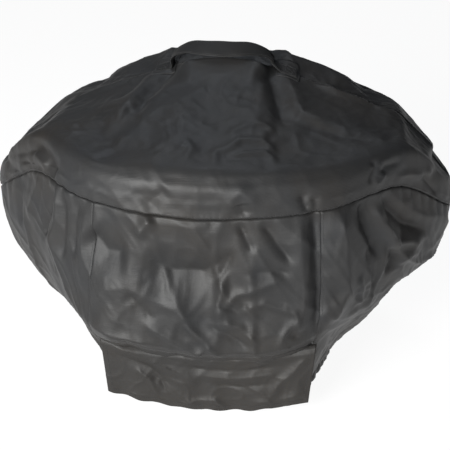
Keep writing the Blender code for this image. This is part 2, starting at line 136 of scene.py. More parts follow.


# ---------------------------------------------------------------- listed folds
# Each fold is a line of places (u, v) on the cloth, its reach to either side of the line in metres, and its
# height off the cloth in metres. A negative height is a valley. The first reach is on the side towards +u.
FOLDS = (
    # the top: cloth hollow under the strap and drawn up to both its ends, and storage creases in its middle
    (((-0.62, 0.0), (0.0, 0.0), (0.62, 0.0)), 0.017, 0.017, -0.017),
    (((-0.66, 0.32), (-0.35, 0.27), (0.35, 0.27), (0.58, 0.32)), 0.032, 0.032, 0.016),
    (((-0.84, 0.0), (-1.02, 0.51), (-1.15, 0.98), (-1.13, 1.53)), 0.016, 0.034, 0.0045),
    (((-1.02, 0.0), (-1.16, 0.56), (-1.42, 0.81)), 0.012, 0.014, -0.0035),
    (((-0.6, 0.08), (-0.76, 0.42), (-0.92, 0.8), (-1.0, 1.3)), 0.014, 0.018, -0.0058),
    (((0.48, 0.05), (0.62, 0.49), (0.74, 0.9), (0.84, 1.4)), 0.03, 0.016, -0.0066),
    (((0.69, 0.0), (0.88, 0.53), (1.02, 1.0), (1.4, 1.3)), 0.02, 0.016, 0.005),
    (((0.94, 1.2), (1.22, 1.34), (1.42, 1.59), (1.8, 2.04)), 0.016, 0.016, -0.0035),
    (((0.13, 1.51), (0.31, 1.33), (0.5, 1.26), (0.75, 1.34)), 0.007, 0.012, 0.0022),
    (((0.12, 1.76), (0.32, 1.55), (0.56, 1.58), (0.73, 1.85)), 0.007, 0.01, 0.0024),
    (((0.19, 1.85), (0.37, 1.81), (0.57, 1.79), (0.69, 2.0)), 0.006, 0.009, 0.0022),
    (((-1.18, 2.24), (-0.99, 1.84), (-0.98, 1.59)), 0.012, 0.016, 0.003),
    (((-0.35, 1.86), (-0.25, 1.62), (-0.14, 1.83)), 0.007, 0.01, 0.0018),
    (((-1.14, 1.03), (-0.92, 0.81), (-0.62, 0.7)), 0.01, 0.018, 0.002),
    (((1.1, 0.1), (1.45, 0.22), (1.9, 0.32), (2.35, 0.45)), 0.014, 0.012, 0.005),
    (((-1.1, 0.12), (-1.5, 0.2), (-1.95, 0.34), (-2.35, 0.45)), 0.012, 0.012, 0.003),
    # the band between the ridge and the long seam
    (((-2.05, 3.15), (-1.74, 3.58), (-1.58, 4.08), (-1.5, 4.6)), 0.02, 0.016, -0.009),
    (((-1.95, 3.75), (-1.78, 4.1), (-1.7, 4.55)), 0.01, 0.012, 0.004),
    (((-2.24, 4.23), (-2.05, 4.8), (-1.74, 4.84)), 0.006, 0.007, -0.004),
    (((-2.58, 4.83), (-2.24, 4.75), (-1.84, 4.69)), 0.006, 0.009, 0.0035),
    (((-2.51, 3.4), (-2.12, 3.83), (-1.79, 3.62)), 0.007, 0.009, -0.004),
    (((-0.32, 3.3), (-0.42, 4.1), (-0.5, 5.0)), 0.014, 0.04, -0.0056),
    (((0.22, 5.0), (0.23, 3.9), (0.31, 3.4), (0.39, 3.85), (0.42, 5.0)), 0.014, 0.014, 0.0036),
    (((0.31, 4.1), (0.33, 4.95)), 0.014, 0.014, -0.0045),
    (((0.81, 3.51), (0.83, 4.51), (0.86, 4.98)), 0.008, 0.007, -0.0055),
    (((0.92, 3.9), (0.93, 4.51), (0.95, 4.98)), 0.007, 0.006, -0.004),
    (((1.5, 2.84), (1.53, 3.38), (1.48, 4.24)), 0.008, 0.007, -0.0035),
    (((1.61, 3.85), (1.66, 3.53), (1.9, 3.51)), 0.009, 0.009, -0.004),
    (((1.56, 4.7), (1.62, 4.1), (1.66, 3.7)), 0.01, 0.009, 0.0045),
    (((1.85, 4.51), (2.19, 4.03), (2.46, 3.24)), 0.012, 0.01, 0.0045),
    (((2.2, 3.7), (2.42, 4.3), (2.58, 4.9)), 0.008, 0.008, -0.0045),
    # the skirt: the hollow under the long seam, and the cloth that swells out below it
    (((-1.06, 5.5), (-0.86, 5.84), (-0.62, 5.82)), 0.03, 0.034, -0.0135),
    (((-0.54, 5.76), (-0.28, 6.08), (0.0, 6.08), (0.24, 5.62)), 0.04, 0.044, -0.018),
    (((-0.9, 5.14), (-0.3, 5.16), (0.3, 5.16)), 0.022, 0.022, 0.0045),
    (((-1.02, 6.95), (-0.84, 6.5), (-0.62, 6.4), (-0.34, 6.7), (0.0, 7.0)), 0.04, 0.044, 0.009),
    (((-1.3, 7.25), (-0.8, 7.46), (-0.2, 7.64), (0.5, 7.68), (1.3, 7.58)), 0.06, 0.058, 0.027),
    (((-0.42, 5.05), (-0.5, 5.28), (-0.56, 5.5)), 0.012, 0.014, 0.007),
    (((-1.07, 5.05), (-1.12, 5.62), (-1.15, 6.12), (-1.14, 6.94)), 0.018, 0.016, 0.0038),
    (((-1.18, 5.0), (-1.23, 5.6), (-1.26, 6.19)), 0.012, 0.012, -0.006),
    (((-1.59, 5.08), (-1.67, 5.59), (-1.85, 6.21)), 0.014, 0.014, -0.01),
    (((-1.38, 5.1), (-1.39, 5.76), (-1.43, 6.29)), 0.01, 0.01, -0.005),
    (((-1.52, 5.03), (-1.5, 5.58), (-1.6, 6.16)), 0.01, 0.01, 0.0055),
    (((-1.9, 5.05), (-2.0, 5.5), (-2.15, 5.95)), 0.016, 0.018, 0.006),
    (((-2.25, 5.05), (-2.3, 5.55), (-2.4, 6.1)), 0.014, 0.016, -0.006),
    (((0.93, 4.7), (0.95, 5.5), (0.96, 6.41), (0.97, 8.2)), 0.017, 0.017, -0.012),
    (((0.81, 5.05), (0.81, 5.64), (0.83, 6.4), (0.82, 7.39)), 0.016, 0.024, 0.006),
    (((1.18, 4.95), (1.23, 5.6), (1.25, 6.45), (1.16, 7.45)), 0.026, 0.022, 0.0115),
    (((1.46, 5.0), (1.49, 5.43), (1.6, 5.76), (1.74, 6.18)), 0.034, 0.012, -0.013),
    (((1.52, 5.8), (1.66, 6.31), (1.84, 6.96)), 0.024, 0.014, -0.008),
    (((1.42, 6.25), (1.5, 6.6), (1.58, 7.0)), 0.009, 0.01, 0.0045),
    (((1.74, 5.04), (1.85, 5.4), (2.09, 5.66), (2.48, 5.78)), 0.014, 0.012, -0.011),
    (((1.62, 5.18), (1.72, 5.55), (1.96, 5.92), (2.46, 5.98)), 0.012, 0.014, 0.009),
    (((2.05, 6.4), (2.14, 6.18), (2.43, 6.15)), 0.013, 0.012, 0.006),
    (((1.9, 6.6), (1.97, 6.2), (1.85, 5.95)), 0.012, 0.012, -0.007),
    (((2.0, 0.0), (2.35, 0.0), (2.7, 0.0), (3.0, 0.2)), 0.07, 0.07, 0.011),
    (((2.2, 7.1), (2.6, 7.2), (3.3, 7.2), (3.8, 7.2)), 0.05, 0.05, -0.01),
    # the crumpled middle of the skirt
    (((0.2, 5.8), (0.15, 6.4), (0.06, 7.0)), 0.007, 0.014, 0.005),
    (((0.05, 7.02), (0.26, 6.46), (0.68, 6.12)), 0.008, 0.009, 0.0048),
    (((0.12, 6.84), (0.48, 6.62), (0.74, 6.8), (0.84, 7.26)), 0.009, 0.008, 0.0046),
    (((0.1, 6.6), (0.26, 6.76), (0.38, 6.66)), 0.007, 0.007, -0.004),
    (((-0.52, 7.05), (-0.26, 7.4), (0.04, 7.82)), 0.006, 0.01, 0.0046),
    (((-0.2, 6.98), (0.0, 7.36), (0.18, 7.84)), 0.006, 0.009, 0.0042),
    (((0.02, 7.08), (0.2, 7.26), (0.38, 7.6)), 0.007, 0.007, -0.0046),
    (((0.12, 6.98), (0.3, 7.1), (0.46, 7.5)), 0.006, 0.008, 0.0042),
    (((0.6, 7.72), (0.64, 7.3), (0.74, 7.02), (0.84, 7.3)), 0.008, 0.007, 0.0046),
    (((0.68, 7.4), (0.72, 7.22), (0.78, 7.5)), 0.007, 0.007, -0.004),
    (((-0.12, 7.9), (-0.02, 7.6), (0.08, 7.42)), 0.006, 0.007, 0.004),
    (((-0.64, 6.45), (-0.52, 6.76), (-0.4, 7.06)), 0.006, 0.014, -0.0036),
    (((-0.86, 7.75), (-0.62, 7.5), (-0.44, 7.62)), 0.008, 0.009, 0.0036),
    (((0.06, 6.3), (0.18, 5.95), (0.24, 5.55)), 0.008, 0.01, -0.005),
    (((0.28, 5.04), (0.34, 5.39), (0.41, 5.66)), 0.008, 0.007, -0.005),
    (((0.46, 5.06), (0.58, 5.46), (0.74, 5.9)), 0.012, 0.009, -0.0062),
    (((0.3, 6.05), (0.52, 5.98), (0.74, 6.02)), 0.01, 0.01, -0.0042),
    (((1.46, 7.16), (1.71, 7.1), (2.06, 7.11)), 0.016, 0.018, 0.005),
    # the rear half, out of the first view, folded in the same manner
    (((6.0, 5.0), (5.93, 5.8), (6.05, 6.9)), 0.014, 0.018, -0.008),
    (((6.55, 5.02), (6.48, 5.9), (6.6, 7.2)), 0.016, 0.012, 0.007),
    (((5.4, 5.0), (5.45, 5.7), (5.3, 6.6)), 0.018, 0.014, -0.008),
    (((7.1, 5.0), (7.08, 6.0), (7.12, 7.4)), 0.01, 0.012, -0.012),
    (((4.95, 5.0), (4.9, 5.9), (4.94, 7.2)), 0.01, 0.012, -0.011),
    (((4.4, 5.05), (4.3, 5.6), (4.05, 6.1)), 0.018, 0.014, -0.009),
    (((7.7, 5.05), (7.82, 5.6), (8.1, 6.1)), 0.014, 0.018, -0.009),
    (((3.55, 5.1), (3.45, 5.7), (3.25, 6.3)), 0.016, 0.016, 0.007),
    (((8.5, 5.1), (8.6, 5.8), (8.8, 6.4)), 0.016, 0.016, 0.007),
    (((5.6, 6.4), (5.9, 6.7), (6.3, 6.65), (6.7, 6.95)), 0.016, 0.014, 0.007),
    (((5.5, 5.4), (5.8, 5.55), (6.25, 5.5)), 0.026, 0.026, -0.009),
    (((5.2, 3.6), (5.1, 4.3), (5.05, 4.95)), 0.012, 0.01, -0.006),
    (((6.8, 3.4), (6.88, 4.2), (6.95, 4.95)), 0.01, 0.014, -0.006),
    (((5.05, 0.1), (5.2, 0.8), (5.4, 1.7), (5.6, 2.6)), 0.02, 0.016, 0.005),
    (((6.95, 0.1), (6.85, 0.8), (6.7, 1.7), (6.5, 2.6)), 0.016, 0.02, 0.0045),
    (((4.2, 0.6), (4.4, 1.5), (4.5, 2.6)), 0.02, 0.02, -0.005),
    (((7.8, 0.6), (7.6, 1.5), (7.5, 2.6)), 0.02, 0.02, -0.005),
    (((5.8, 1.2), (6.1, 1.5), (6.4, 1.3)), 0.01, 0.012, 0.0025),
    (((5.65, 1.9), (6.0, 2.1), (6.45, 2.0)), 0.01, 0.012, 0.0025),
)
SAMPLES_PER_FOLD = 40
FOLD_TAPER = 0.25  # share of a fold's length over which it fades at each end
FOLD_STRENGTH = 1.2
CREST = 0.45  # how much of a fold's section is a sharp crest, not a round one


def smoothstep(value, low=0.0, high=1.0):
    t = np.clip((value - low) / (high - low), 0.0, 1.0)
    return t * t * (3 - 2 * t)


def raw_normal(u, v):
    step = 0.02
    v = np.maximum(v, 2 * step)
    round_it = cloth_point(u + step, v) - cloth_point(u - step, v)
    down = cloth_point(u, np.minimum(v + step, HEM)) - cloth_point(u, v - step)
    normal = np.cross(down, round_it)
    return normal / np.linalg.norm(normal, axis=-1, keepdims=True)


def cloth_normal(u, v):
    """Outward normals of the undisturbed cloth. Along the arch seam the front and rear halves share one."""
    own = raw_normal(u, v)
    shared = raw_normal(u, 0.0 * v) + raw_normal(2 * TIP - u, 0.0 * v)
    shared /= np.linalg.norm(shared, axis=-1, keepdims=True)
    share = smoothstep(v, 0.0, 0.25)[..., None]
    normal = shared + (own - shared) * share
    return normal / np.linalg.norm(normal, axis=-1, keepdims=True)


def fold_line(places):
    """Evenly spread places along a fold, with their share of its length."""
    places = np.array(places)
    steps = np.linspace(0, len(places) - 1, SAMPLES_PER_FOLD)
    u = np.interp(steps, range(len(places)), places[:, 0])
    v = np.interp(steps, range(len(places)), places[:, 1])
    return u, v, np.linspace(0.0, 1.0, SAMPLES_PER_FOLD)


def fold_height(points, fold, surface=cloth_point):
    """How far one fold moves every point along its normal, for points of a surface."""
    places, reach_ahead, reach_behind, height = fold
    u, v, share = fold_line(places)
    line = surface(u, v)
    ahead = surface(u + 0.02, v) - line
    along = np.gradient(line, axis=0)
    spacing = np.linalg.norm(along, axis=1)
    along /= spacing[:, None]
    flat = points.reshape(-1, 3)
    heights = np.zeros(len(flat))
    near = np.linalg.norm(flat - line.mean(axis=0), axis=1) < np.ptp(line, axis=0).max() + 0.12
    offsets = flat[near, None, :] - line[None, :, :]
    distances = np.linalg.norm(offsets, axis=2)
    closest = distances.argmin(axis=1)
    rows = np.arange(len(closest))
    past = np.einsum("ij,ij->i", offsets[rows, closest], along[closest])
    between = np.clip(past, -spacing[closest] / 2, spacing[closest] / 2)
    distance = np.sqrt(np.maximum(distances[rows, closest] ** 2 - 2 * past * between + between**2, 0.0))
    facing = np.einsum("ij,ij->i", offsets[rows, closest], ahead[closest])
    facing /= np.linalg.norm(ahead[closest], axis=1) * np.maximum(distance, 1e-6)
    reach = reach_behind + (reach_ahead - reach_behind) * (0.5 + 0.5 * facing)
    share = share[closest] + between / spacing[closest] / (SAMPLES_PER_FOLD - 1)
    ends = smoothstep(share, 0.0, FOLD_TAPER) * (1 - smoothstep(share, 1 - FOLD_TAPER, 1.0))
    profile = (1 - CREST) * np.exp(-((distance / reach) ** 2)) + CREST * np.exp(-distance / (0.6 * reach))
    heights[near] = height * profile * ends
    return heights.reshape(points.shape[:2])


def gathers(u, count, sharpness, seed):
    """Pleats drawn in by a seam or elastic, round outwards and sharp inwards. From -1 to about 0.6."""
    wander = sum(math.sin(k * 1.7 + seed) * np.sin(u * 2 * np.pi * k / STATIONS + seed * k) / k
                 for k in (3, 5, 8, 13))
    phase = np.pi * (count * u / STATIONS + 1.3 * wander)
    pleat = abs(np.cos(phase)) ** sharpness
    size = 0.75 + 0.25 * np.sin(u * 2 * np.pi * 7 / STATIONS + seed * 2)
    return (pleat * 1.6 - 1.0) * size


HEM_GATHERS = 54  # pleats round the whole cover
HEM_GATHER_HEIGHT = 0.0048
NECK_GATHER_HEIGHT = 0.0045
NECK_REACH = 0.9  # rings
SEAM_GATHERS = 76
SEAM_GATHER_HEIGHT = 0.0022
REACH_BELOW_SEAM, REACH_ABOVE_SEAM = 0.34, 0.20  # rings


def gather_height(u, v):
    """Pleats above the hem, and small ones below the long seam on both sides."""
    lower = smoothstep(v, FLAP_SEAM + 0.1, HEM) ** 1.3
    above_hem = lower * gathers(u, HEM_GATHERS, 0.8, 1.0) * HEM_GATHER_HEIGHT
    neck = np.exp(-(((v - TUCK + 0.3) / NECK_REACH) ** 2))
    folded_neck = neck * gathers(u, HEM_GATHERS / 3, 1.0, 2.0) * NECK_GATHER_HEIGHT
    below = np.exp(-(v - MAIN_SEAM) / REACH_BELOW_SEAM)
    above = np.exp(-(MAIN_SEAM - v) / REACH_ABOVE_SEAM) * 0.5
    near_seam = np.where(v >= MAIN_SEAM, below, above)
    side = 0.25 + 0.75 * smoothstep(abs(np.sin(u * np.pi / 6)), 0.35, 0.75)
    by_seam = near_seam * side * gathers(u, SEAM_GATHERS, 0.9, 3.0) * SEAM_GATHER_HEIGHT
    return above_hem + folded_neck + by_seam


RIGHT_SHIFTS = (  # height, and how far the cloth there is drawn towards +X
    (0.05, -0.012), (0.15, -0.016), (0.21, -0.006), (0.26, 0.0), (0.42, 0.0), (0.49, 0.014), (0.56, 0.002),
)
LEFT_SHIFTS = ((0.36, 0.0), (0.40, 0.008), (0.43, 0.0))
CRUMPLE_SIZES = ((8, 0.0070), (17, 0.0030), (34, 0.0012))  # crumples to the metre, and their height
CRUMPLE_SLANT = 0.45
CRUMPLE_STRETCH = 0.60
CRUMPLED_RINGS = ((ARCH, 0.0), (TOP, 0.20), (RIDGE_IN, 0.16), (BAND, 0.12), (MAIN_SEAM, 0.25), (BULGE, 1.0),
                  (WAIST, 1.0), (FLAP_SEAM, 0.40), (HEM, 0.1))


def ridged_noise(points, sizes, slant=0.0, stretch=1.0):
    """Heights of thin wandering ridges between shallow hollows."""
    flat = [Vector((x + slant * z, y, stretch * z)) for x, y, z in points.reshape(-1, 3)]
    heights = np.zeros(len(flat))
    for per_metre, height in sizes:
        warp = [noise.noise_vector(p * per_metre * 0.4) for p in flat]
        values = np.array([noise.noise(p * per_metre * 0.5 + w * 0.9) for p, w in zip(flat, warp)])
        heights += height * np.clip(1 - np.abs(values) * 3.0, -0.3, 1.0) ** 3
    return heights.reshape(points.shape[:2])


def side_shift(points):
    """How far the cloth is drawn towards +X, which makes its two sides unlike."""
    x, z = points[..., 0], points[..., 2]
    right = np.interp(z, *zip(*RIGHT_SHIFTS)) * smoothstep(x, 0.10, 0.26)
    left = np.interp(z, *zip(*LEFT_SHIFTS)) * smoothstep(-x, 0.26, 0.40)
    return right + left


def folded(u, v):
    """The cloth with every listed fold, crumple and gather, for a grid of u and v."""
    points = cloth_point(u, v)
    heights = gather_height(u, v) + FOLD_STRENGTH * sum(fold_height(points, fold) for fold in FOLDS)
    share = np.interp(v, *zip(*CRUMPLED_RINGS))
    heights += share * ridged_noise(points, CRUMPLE_SIZES, CRUMPLE_SLANT, CRUMPLE_STRETCH)
    points = points + cloth_normal(u, v) * heights[..., None]
    points[..., 0] += side_shift(points)
    return points


# ---------------------------------------------------------------- the cloth simulation
SIMULATED_FRAMES = 16
GRAVITY_SHARE = 0.15
CLOTH_SETTINGS = {
    "shrink_min": -0.004,  # extra cloth, as a share of its length, where it is held closest
    "shrink_max": -0.060,  # and where it is loosest
    "quality": 6,
    "mass": 0.05,
    "tension_stiffness": 30,
    "compression_stiffness": 30,
    "shear_stiffness": 12,
    "bending_stiffness": 1.0,
    "air_damping": 1,
    "pin_stiffness": 1.0,
}
LOOSENESS = ((ARCH, 0.05), (RIDGE_IN, 0.15), (RIDGE, 0.25), (MAIN_SEAM, 0.8), (WAIST, 1.0), (HEM, 0.6))
LOOSENESS_STEPS = 20
HOLD_EVERYWHERE = 0.10
HOLD_AT_SEAMS = 0.80
LARGEST_MOVE = 0.014
SAG_BLURS = 60


def welded_grid():
    """Vertex numbers of the simulated grid, whose first row is shared by the front and rear halves."""
    index = np.arange(len(ROWS) * len(COLUMNS)).reshape(len(ROWS), len(COLUMNS))
    rear = np.flatnonzero((COLUMNS > TIP) & (COLUMNS < STATIONS - TIP))
    index[0, rear] = index[0, (2 * TIP * COLUMNS_PER_STATION - rear) % len(COLUMNS)]
    used, compact = np.unique(index, return_inverse=True)
    return used, compact.reshape(index.shape)


def grid_faces(index, closed):
    """Faces of a grid of vertex numbers, facing outwards."""
    after = np.roll(index, -1, axis=1) if closed else index[:, 1:]
    here = index if closed else index[:, :-1]
    return np.stack([here[:-1], here[1:], after[1:], after[:-1]], axis=-1).reshape(-1, 4).tolist()


def new_object(name, vertices, faces):
    mesh = bpy.data.meshes.new(name)
    mesh.from_pydata(np.asarray(vertices).tolist(), [], faces)
    mesh.update()
    obj = bpy.data.objects.new(name, mesh)
    bpy.context.scene.collection.objects.link(obj)
    return obj


def coordinates(mesh):
    flat = np.empty(len(mesh.vertices) * 3)
    mesh.vertices.foreach_get("co", flat)
    return flat.reshape(-1, 3)


def hold_weights():
    """How firmly the simulation holds each row and column in its place."""
    u, v = np.meshgrid(COLUMNS, ROWS)
    weights = np.full(u.shape, HOLD_EVERYWHERE)
    weights[(abs(v - MAIN_SEAM) < 0.02) | (v < 0.02)] = HOLD_AT_SEAMS
    front = abs((u + TIP) % STATIONS - TIP) <= FRONT_SEAM + 0.01
    weights[front & (abs(v - FLAP_SEAM) < 0.03)] = HOLD_AT_SEAMS
    weights[v > HEM - 0.01] = 1.0
    return weights


def add_cloth(obj, looseness, weights):
    """Cloth that is cut too large by its looseness, from 0 to 1, and held in its place by its weights."""
    loose = obj.vertex_groups.new(name="loose")
    for step in range(LOOSENESS_STEPS + 1):
        chosen = np.flatnonzero(np.round(looseness * LOOSENESS_STEPS) == step)
        loose.add(chosen.tolist(), step / LOOSENESS_STEPS, "REPLACE")
    held = obj.vertex_groups.new(name="held")
    for weight in np.unique(weights):
        held.add(np.flatnonzero(weights == weight).tolist(), float(weight), "REPLACE")

    cloth = obj.modifiers.new("cloth", "CLOTH")
    cloth.settings.vertex_group_shrink = loose.name
    cloth.settings.vertex_group_mass = held.name
    cloth.settings.effector_weights.gravity = GRAVITY_SHARE
    for name, value in CLOTH_SETTINGS.items():
        setattr(cloth.settings, name, value)
    cloth.collision_settings.use_collision = False
    cloth.collision_settings.use_self_collision = False


def simulated_moves():
    """How far each grid point moves in a short simulation of the folded cloth, cut a little too large."""
    used, index = welded_grid()
    start = folded(*np.meshgrid(COLUMNS, ROWS)).reshape(-1, 3)[used]
    obj = new_object("cloth_to_simulate", start, grid_faces(index, closed=True))

    v = np.repeat(ROWS, len(COLUMNS))[used]
    looseness = np.interp(v, *zip(*LOOSENESS))
    add_cloth(obj, looseness, hold_weights().ravel()[used])

    scene = bpy.context.scene
    for step in range(1, SIMULATED_FRAMES + 1):
        scene.frame_set(step)
    evaluated = obj.evaluated_get(bpy.context.evaluated_depsgraph_get())
    moved = coordinates(evaluated.to_mesh())
    evaluated.to_mesh_clear()
    scene.frame_set(1)
    bpy.data.objects.remove(obj, do_unlink=True)

    move = moved - start
    length = np.linalg.norm(move, axis=1, keepdims=True)
    move *= np.minimum(1.0, LARGEST_MOVE / np.maximum(length, 1e-9))
    return move[index]


def without_sag(moves):
    """The moves without their broad part, by which the whole cloth would sink."""
    broad = moves.copy()
    for _ in range(SAG_BLURS):
        rows = np.concatenate([broad[:1], broad, broad[-1:]])
        broad = (rows[:-2] + rows[2:] + np.roll(broad, 1, axis=1) + np.roll(broad, -1, axis=1)) / 4
    across_seam = (2 * TIP * COLUMNS_PER_STATION - np.arange(len(COLUMNS))) % len(COLUMNS)
    broad[0] = (broad[0] + broad[0, across_seam]) / 2
    return moves - broad * (1 - smoothstep(ROWS, TUCK, HEM))[:, None, None]


def between_grid_points(field, u, v):
    """A field of the simulated grid at any places on the cloth, by cubic interpolation."""
    column = u * COLUMNS_PER_STATION
    ring = np.clip(np.floor(v).astype(int), 0, HEM - 1)
    first_rows = np.concatenate([[0], np.cumsum(ROWS_PER_RING)])
    row = first_rows[ring] + (v - ring) * np.array(ROWS_PER_RING)[ring]
    low_column = np.floor(column).astype(int)
    low_row = np.clip(np.floor(row).astype(int), 0, len(ROWS) - 2)

    def on_row(index):
        index = np.clip(index, 0, len(ROWS) - 1)
        around = (field[index, (low_column + step) % len(COLUMNS)] for step in (-1, 0, 1, 2))
        return catmull_rom(*around, column - low_column)

    return catmull_rom(*(on_row(low_row + step) for step in (-1, 0, 1, 2)), row - low_row)


MOVES = without_sag(simulated_moves())


def worn_cloth(u, v):
    """The folded and simulated cloth at a grid of places."""
    return folded(u, v) + between_grid_points(MOVES, u, v)


# ---------------------------------------------------------------- materials
SPECK_LIGHTNESS = 1.22
WAVES_PER_UNIT = 20.0  # of a wave texture at scale 1
SMOOTHER, ROUGHER = -0.07, 0.10  # how far the roughness wanders


def node(tree, kind, inputs=None, **settings):
    """A new shader node. Inputs are set to a value, or linked when the value is another node's socket."""
    made = tree.nodes.new(kind)
    for key, value in settings.items():
        setattr(made, key, value)
    for key, value in (inputs or {}).items():
        if isinstance(value, bpy.types.NodeSocket):
            tree.links.new(value, made.inputs[key])
        else:
            made.inputs[key].default_value = value
    return made


def mixed_colour(tree, share, first, second):
    """A colour between two colours or sockets."""
    mix = tree.nodes.new("ShaderNodeMix")
    mix.data_type = "RGBA"
    for socket, value in ((mix.inputs["Factor"], share), (mix.inputs[6], first), (mix.inputs[7], second)):
        if isinstance(value, bpy.types.NodeSocket):
            tree.links.new(value, socket)
        else:
            socket.default_value = value
    return mix.outputs[2]


def ramp(tree, factor, low, high):
    """A factor stretched so that low becomes 0 and high becomes 1."""
    stretched = node(tree, "ShaderNodeMapRange", {"Value": factor, "From Min": low, "From Max": high})
    return stretched.outputs["Result"]


def noise_share(tree, where, scale, detail, roughness=0.5):
    """A noise's factor, at places given by a socket."""
    settings = {"Vector": where, "Scale": scale, "Detail": detail, "Roughness": roughness}
    return node(tree, "ShaderNodeTexNoise", settings).outputs["Fac"]


def fabric_colour(tree, place, colour, warm, cool):
    """A colour with broad warm and cool patches, warmer near the hem, and fine lighter specks."""
    warm_share = ramp(tree, noise_share(tree, place, 5.0, 3.0, 0.6), 0.48, 0.72)
    height = node(tree, "ShaderNodeSeparateXYZ", {"Vector": place}).outputs["Z"]
    near_hem = ramp(tree, height, 0.20, 0.02)
    warm_total = node(tree, "ShaderNodeMath", {0: warm_share, 1: near_hem}, operation="ADD", use_clamp=True)
    cool_share = ramp(tree, noise_share(tree, place, 11.0, 2.0), 0.45, 0.70)
    base = mixed_colour(tree, cool_share, (*colour, 1), (*cool, 1))
    base = mixed_colour(tree, warm_total.outputs[0], base, (*warm, 1))
    lighter = tuple(channel * SPECK_LIGHTNESS for channel in colour)
    speck_share = ramp(tree, noise_share(tree, place, 260.0, 3.0, 0.7), 0.35, 0.80)
    return mixed_colour(tree, speck_share, base, (*lighter, 1))


def fabric_bump(tree, place, cloth, weave_pitch, weave_depth, grain):
    """The relief of a fine weave, faint ribs and pebbled coating, as a normal."""
    threads = []
    for direction in ("X", "Y"):
        wave = node(tree, "ShaderNodeTexWave",
                    {"Vector": cloth, "Scale": 1.0 / weave_pitch / WAVES_PER_UNIT, "Distortion": 0.3},
                    wave_type="BANDS", bands_direction=direction)
        threads.append(wave.outputs["Fac"])
    weave = node(tree, "ShaderNodeMath", {0: threads[0], 1: threads[1]}, operation="MAXIMUM").outputs[0]
    ribs_place = node(tree, "ShaderNodeMapping", {"Vector": cloth, "Scale": (18.0, 420.0, 1.0)})
    ribs = noise_share(tree, ribs_place.outputs["Vector"], 1.0, 2.0)
    pebble = noise_share(tree, place, 130.0, 4.0, 0.65)
    bump = {"Height": weave, "Strength": weave_depth, "Distance": 0.00012}
    normal = node(tree, "ShaderNodeBump", bump).outputs[0]
    for height, distance in ((ribs, 0.0006), (pebble, 0.0007)):
        bump = {"Height": height, "Strength": grain, "Distance": distance, "Normal": normal}
        normal = node(tree, "ShaderNodeBump", bump).outputs[0]
    return normal


def fabric_material(name, colour, warm, cool, roughness, weave_pitch=0.0011, weave_depth=0.25, grain=0.35):
    """Coated woven polyester. Colours are linear."""
    material = bpy.data.materials.new(name)
    material.use_nodes = True
    tree = material.node_tree
    shader = tree.nodes["Principled BSDF"]
    coordinates_node = node(tree, "ShaderNodeTexCoord")
    place, cloth = coordinates_node.outputs["Object"], coordinates_node.outputs["UV"]
    tree.links.new(fabric_colour(tree, place, colour, warm, cool), shader.inputs["Base Color"])
    wander = noise_share(tree, place, 18.0, 4.0)
    limits = {"Value": wander, "To Min": roughness + SMOOTHER, "To Max": roughness + ROUGHER}
    rough = node(tree, "ShaderNodeMapRange", limits)
    tree.links.new(rough.outputs["Result"], shader.inputs["Roughness"])
    relief = fabric_bump(tree, place, cloth, weave_pitch, weave_depth, grain)
    tree.links.new(relief, shader.inputs["Normal"])
    shader.inputs["Specular IOR Level"].default_value = 0.36
    shader.inputs["Sheen Weight"].default_value = 0.03
    shader.inputs["Sheen Roughness"].default_value = 0.45
    return material


def thread_material(name, colour):
    """Twisted sewing thread, as fine slanting plies."""
    material = bpy.data.materials.new(name)
    material.use_nodes = True
    tree = material.node_tree
    shader = tree.nodes["Principled BSDF"]
    place = node(tree, "ShaderNodeTexCoord").outputs["Object"]
    plies = node(tree, "ShaderNodeTexWave", {"Vector": place, "Scale": 120.0, "Distortion": 1.0},
                 bands_direction="DIAGONAL")
    darker = tuple(channel * 0.55 for channel in colour)
    twisted = mixed_colour(tree, plies.outputs["Fac"], (*darker, 1), (*colour, 1))
    tree.links.new(twisted, shader.inputs["Base Color"])
    bump = node(tree, "ShaderNodeBump", {"Height": plies.outputs["Fac"], "Strength": 0.5, "Distance": 0.0002})
    tree.links.new(bump.outputs["Normal"], shader.inputs["Normal"])
    shader.inputs["Roughness"].default_value = 0.62
    return material


def stage_material(name, paleness, glow):
    material = bpy.data.materials.new(name)
    material.use_nodes = True
    shader = material.node_tree.nodes["Principled BSDF"]
    shader.inputs["Base Color"].default_value = (paleness, paleness, paleness, 1.0)
    shader.inputs["Roughness"].default_value = 0.9
    shader.inputs["Specular IOR Level"].default_value = 0.1
    shader.inputs["Emission Color"].default_value = (1.0, 1.0, 1.0, 1.0)
    shader.inputs["Emission Strength"].default_value = glow
    return material


FABRIC = fabric_material("coated_fabric", (0.0125, 0.0125, 0.0127), (0.0165, 0.0138, 0.0110),
                         (0.0113, 0.0121, 0.0136), 0.54)
STRAP_FABRIC = fabric_material("strap_fabric", (0.007, 0.007, 0.007), (0.010, 0.0085, 0.007),
                               (0.006, 0.0065, 0.007), 0.68, weave_pitch=0.0014, weave_depth=0.5)
TAPE = fabric_material("seam_tape", (0.018, 0.018, 0.018), (0.022, 0.019, 0.017),
                       (0.016, 0.017, 0.018), 0.75, weave_pitch=0.0008, weave_depth=0.6)
ELASTIC = fabric_material("elastic", (0.030, 0.030, 0.030), (0.034, 0.030, 0.027),
                          (0.026, 0.027, 0.029), 0.80, weave_pitch=0.0010, weave_depth=0.9)
THREAD = thread_material("thread", (0.030, 0.030, 0.031))


# ---------------------------------------------------------------- making pieces
FABRIC_THICKNESS = 0.0008
BLEND_FLAP = {"start": (0.0, -0.255, 0.137), "end": (0.0, -0.255, 0.112)}
BLEND_STRAP = {"start": (0.0, 0.086, 0.567), "end": (0.0, 0.086, 0.592)}


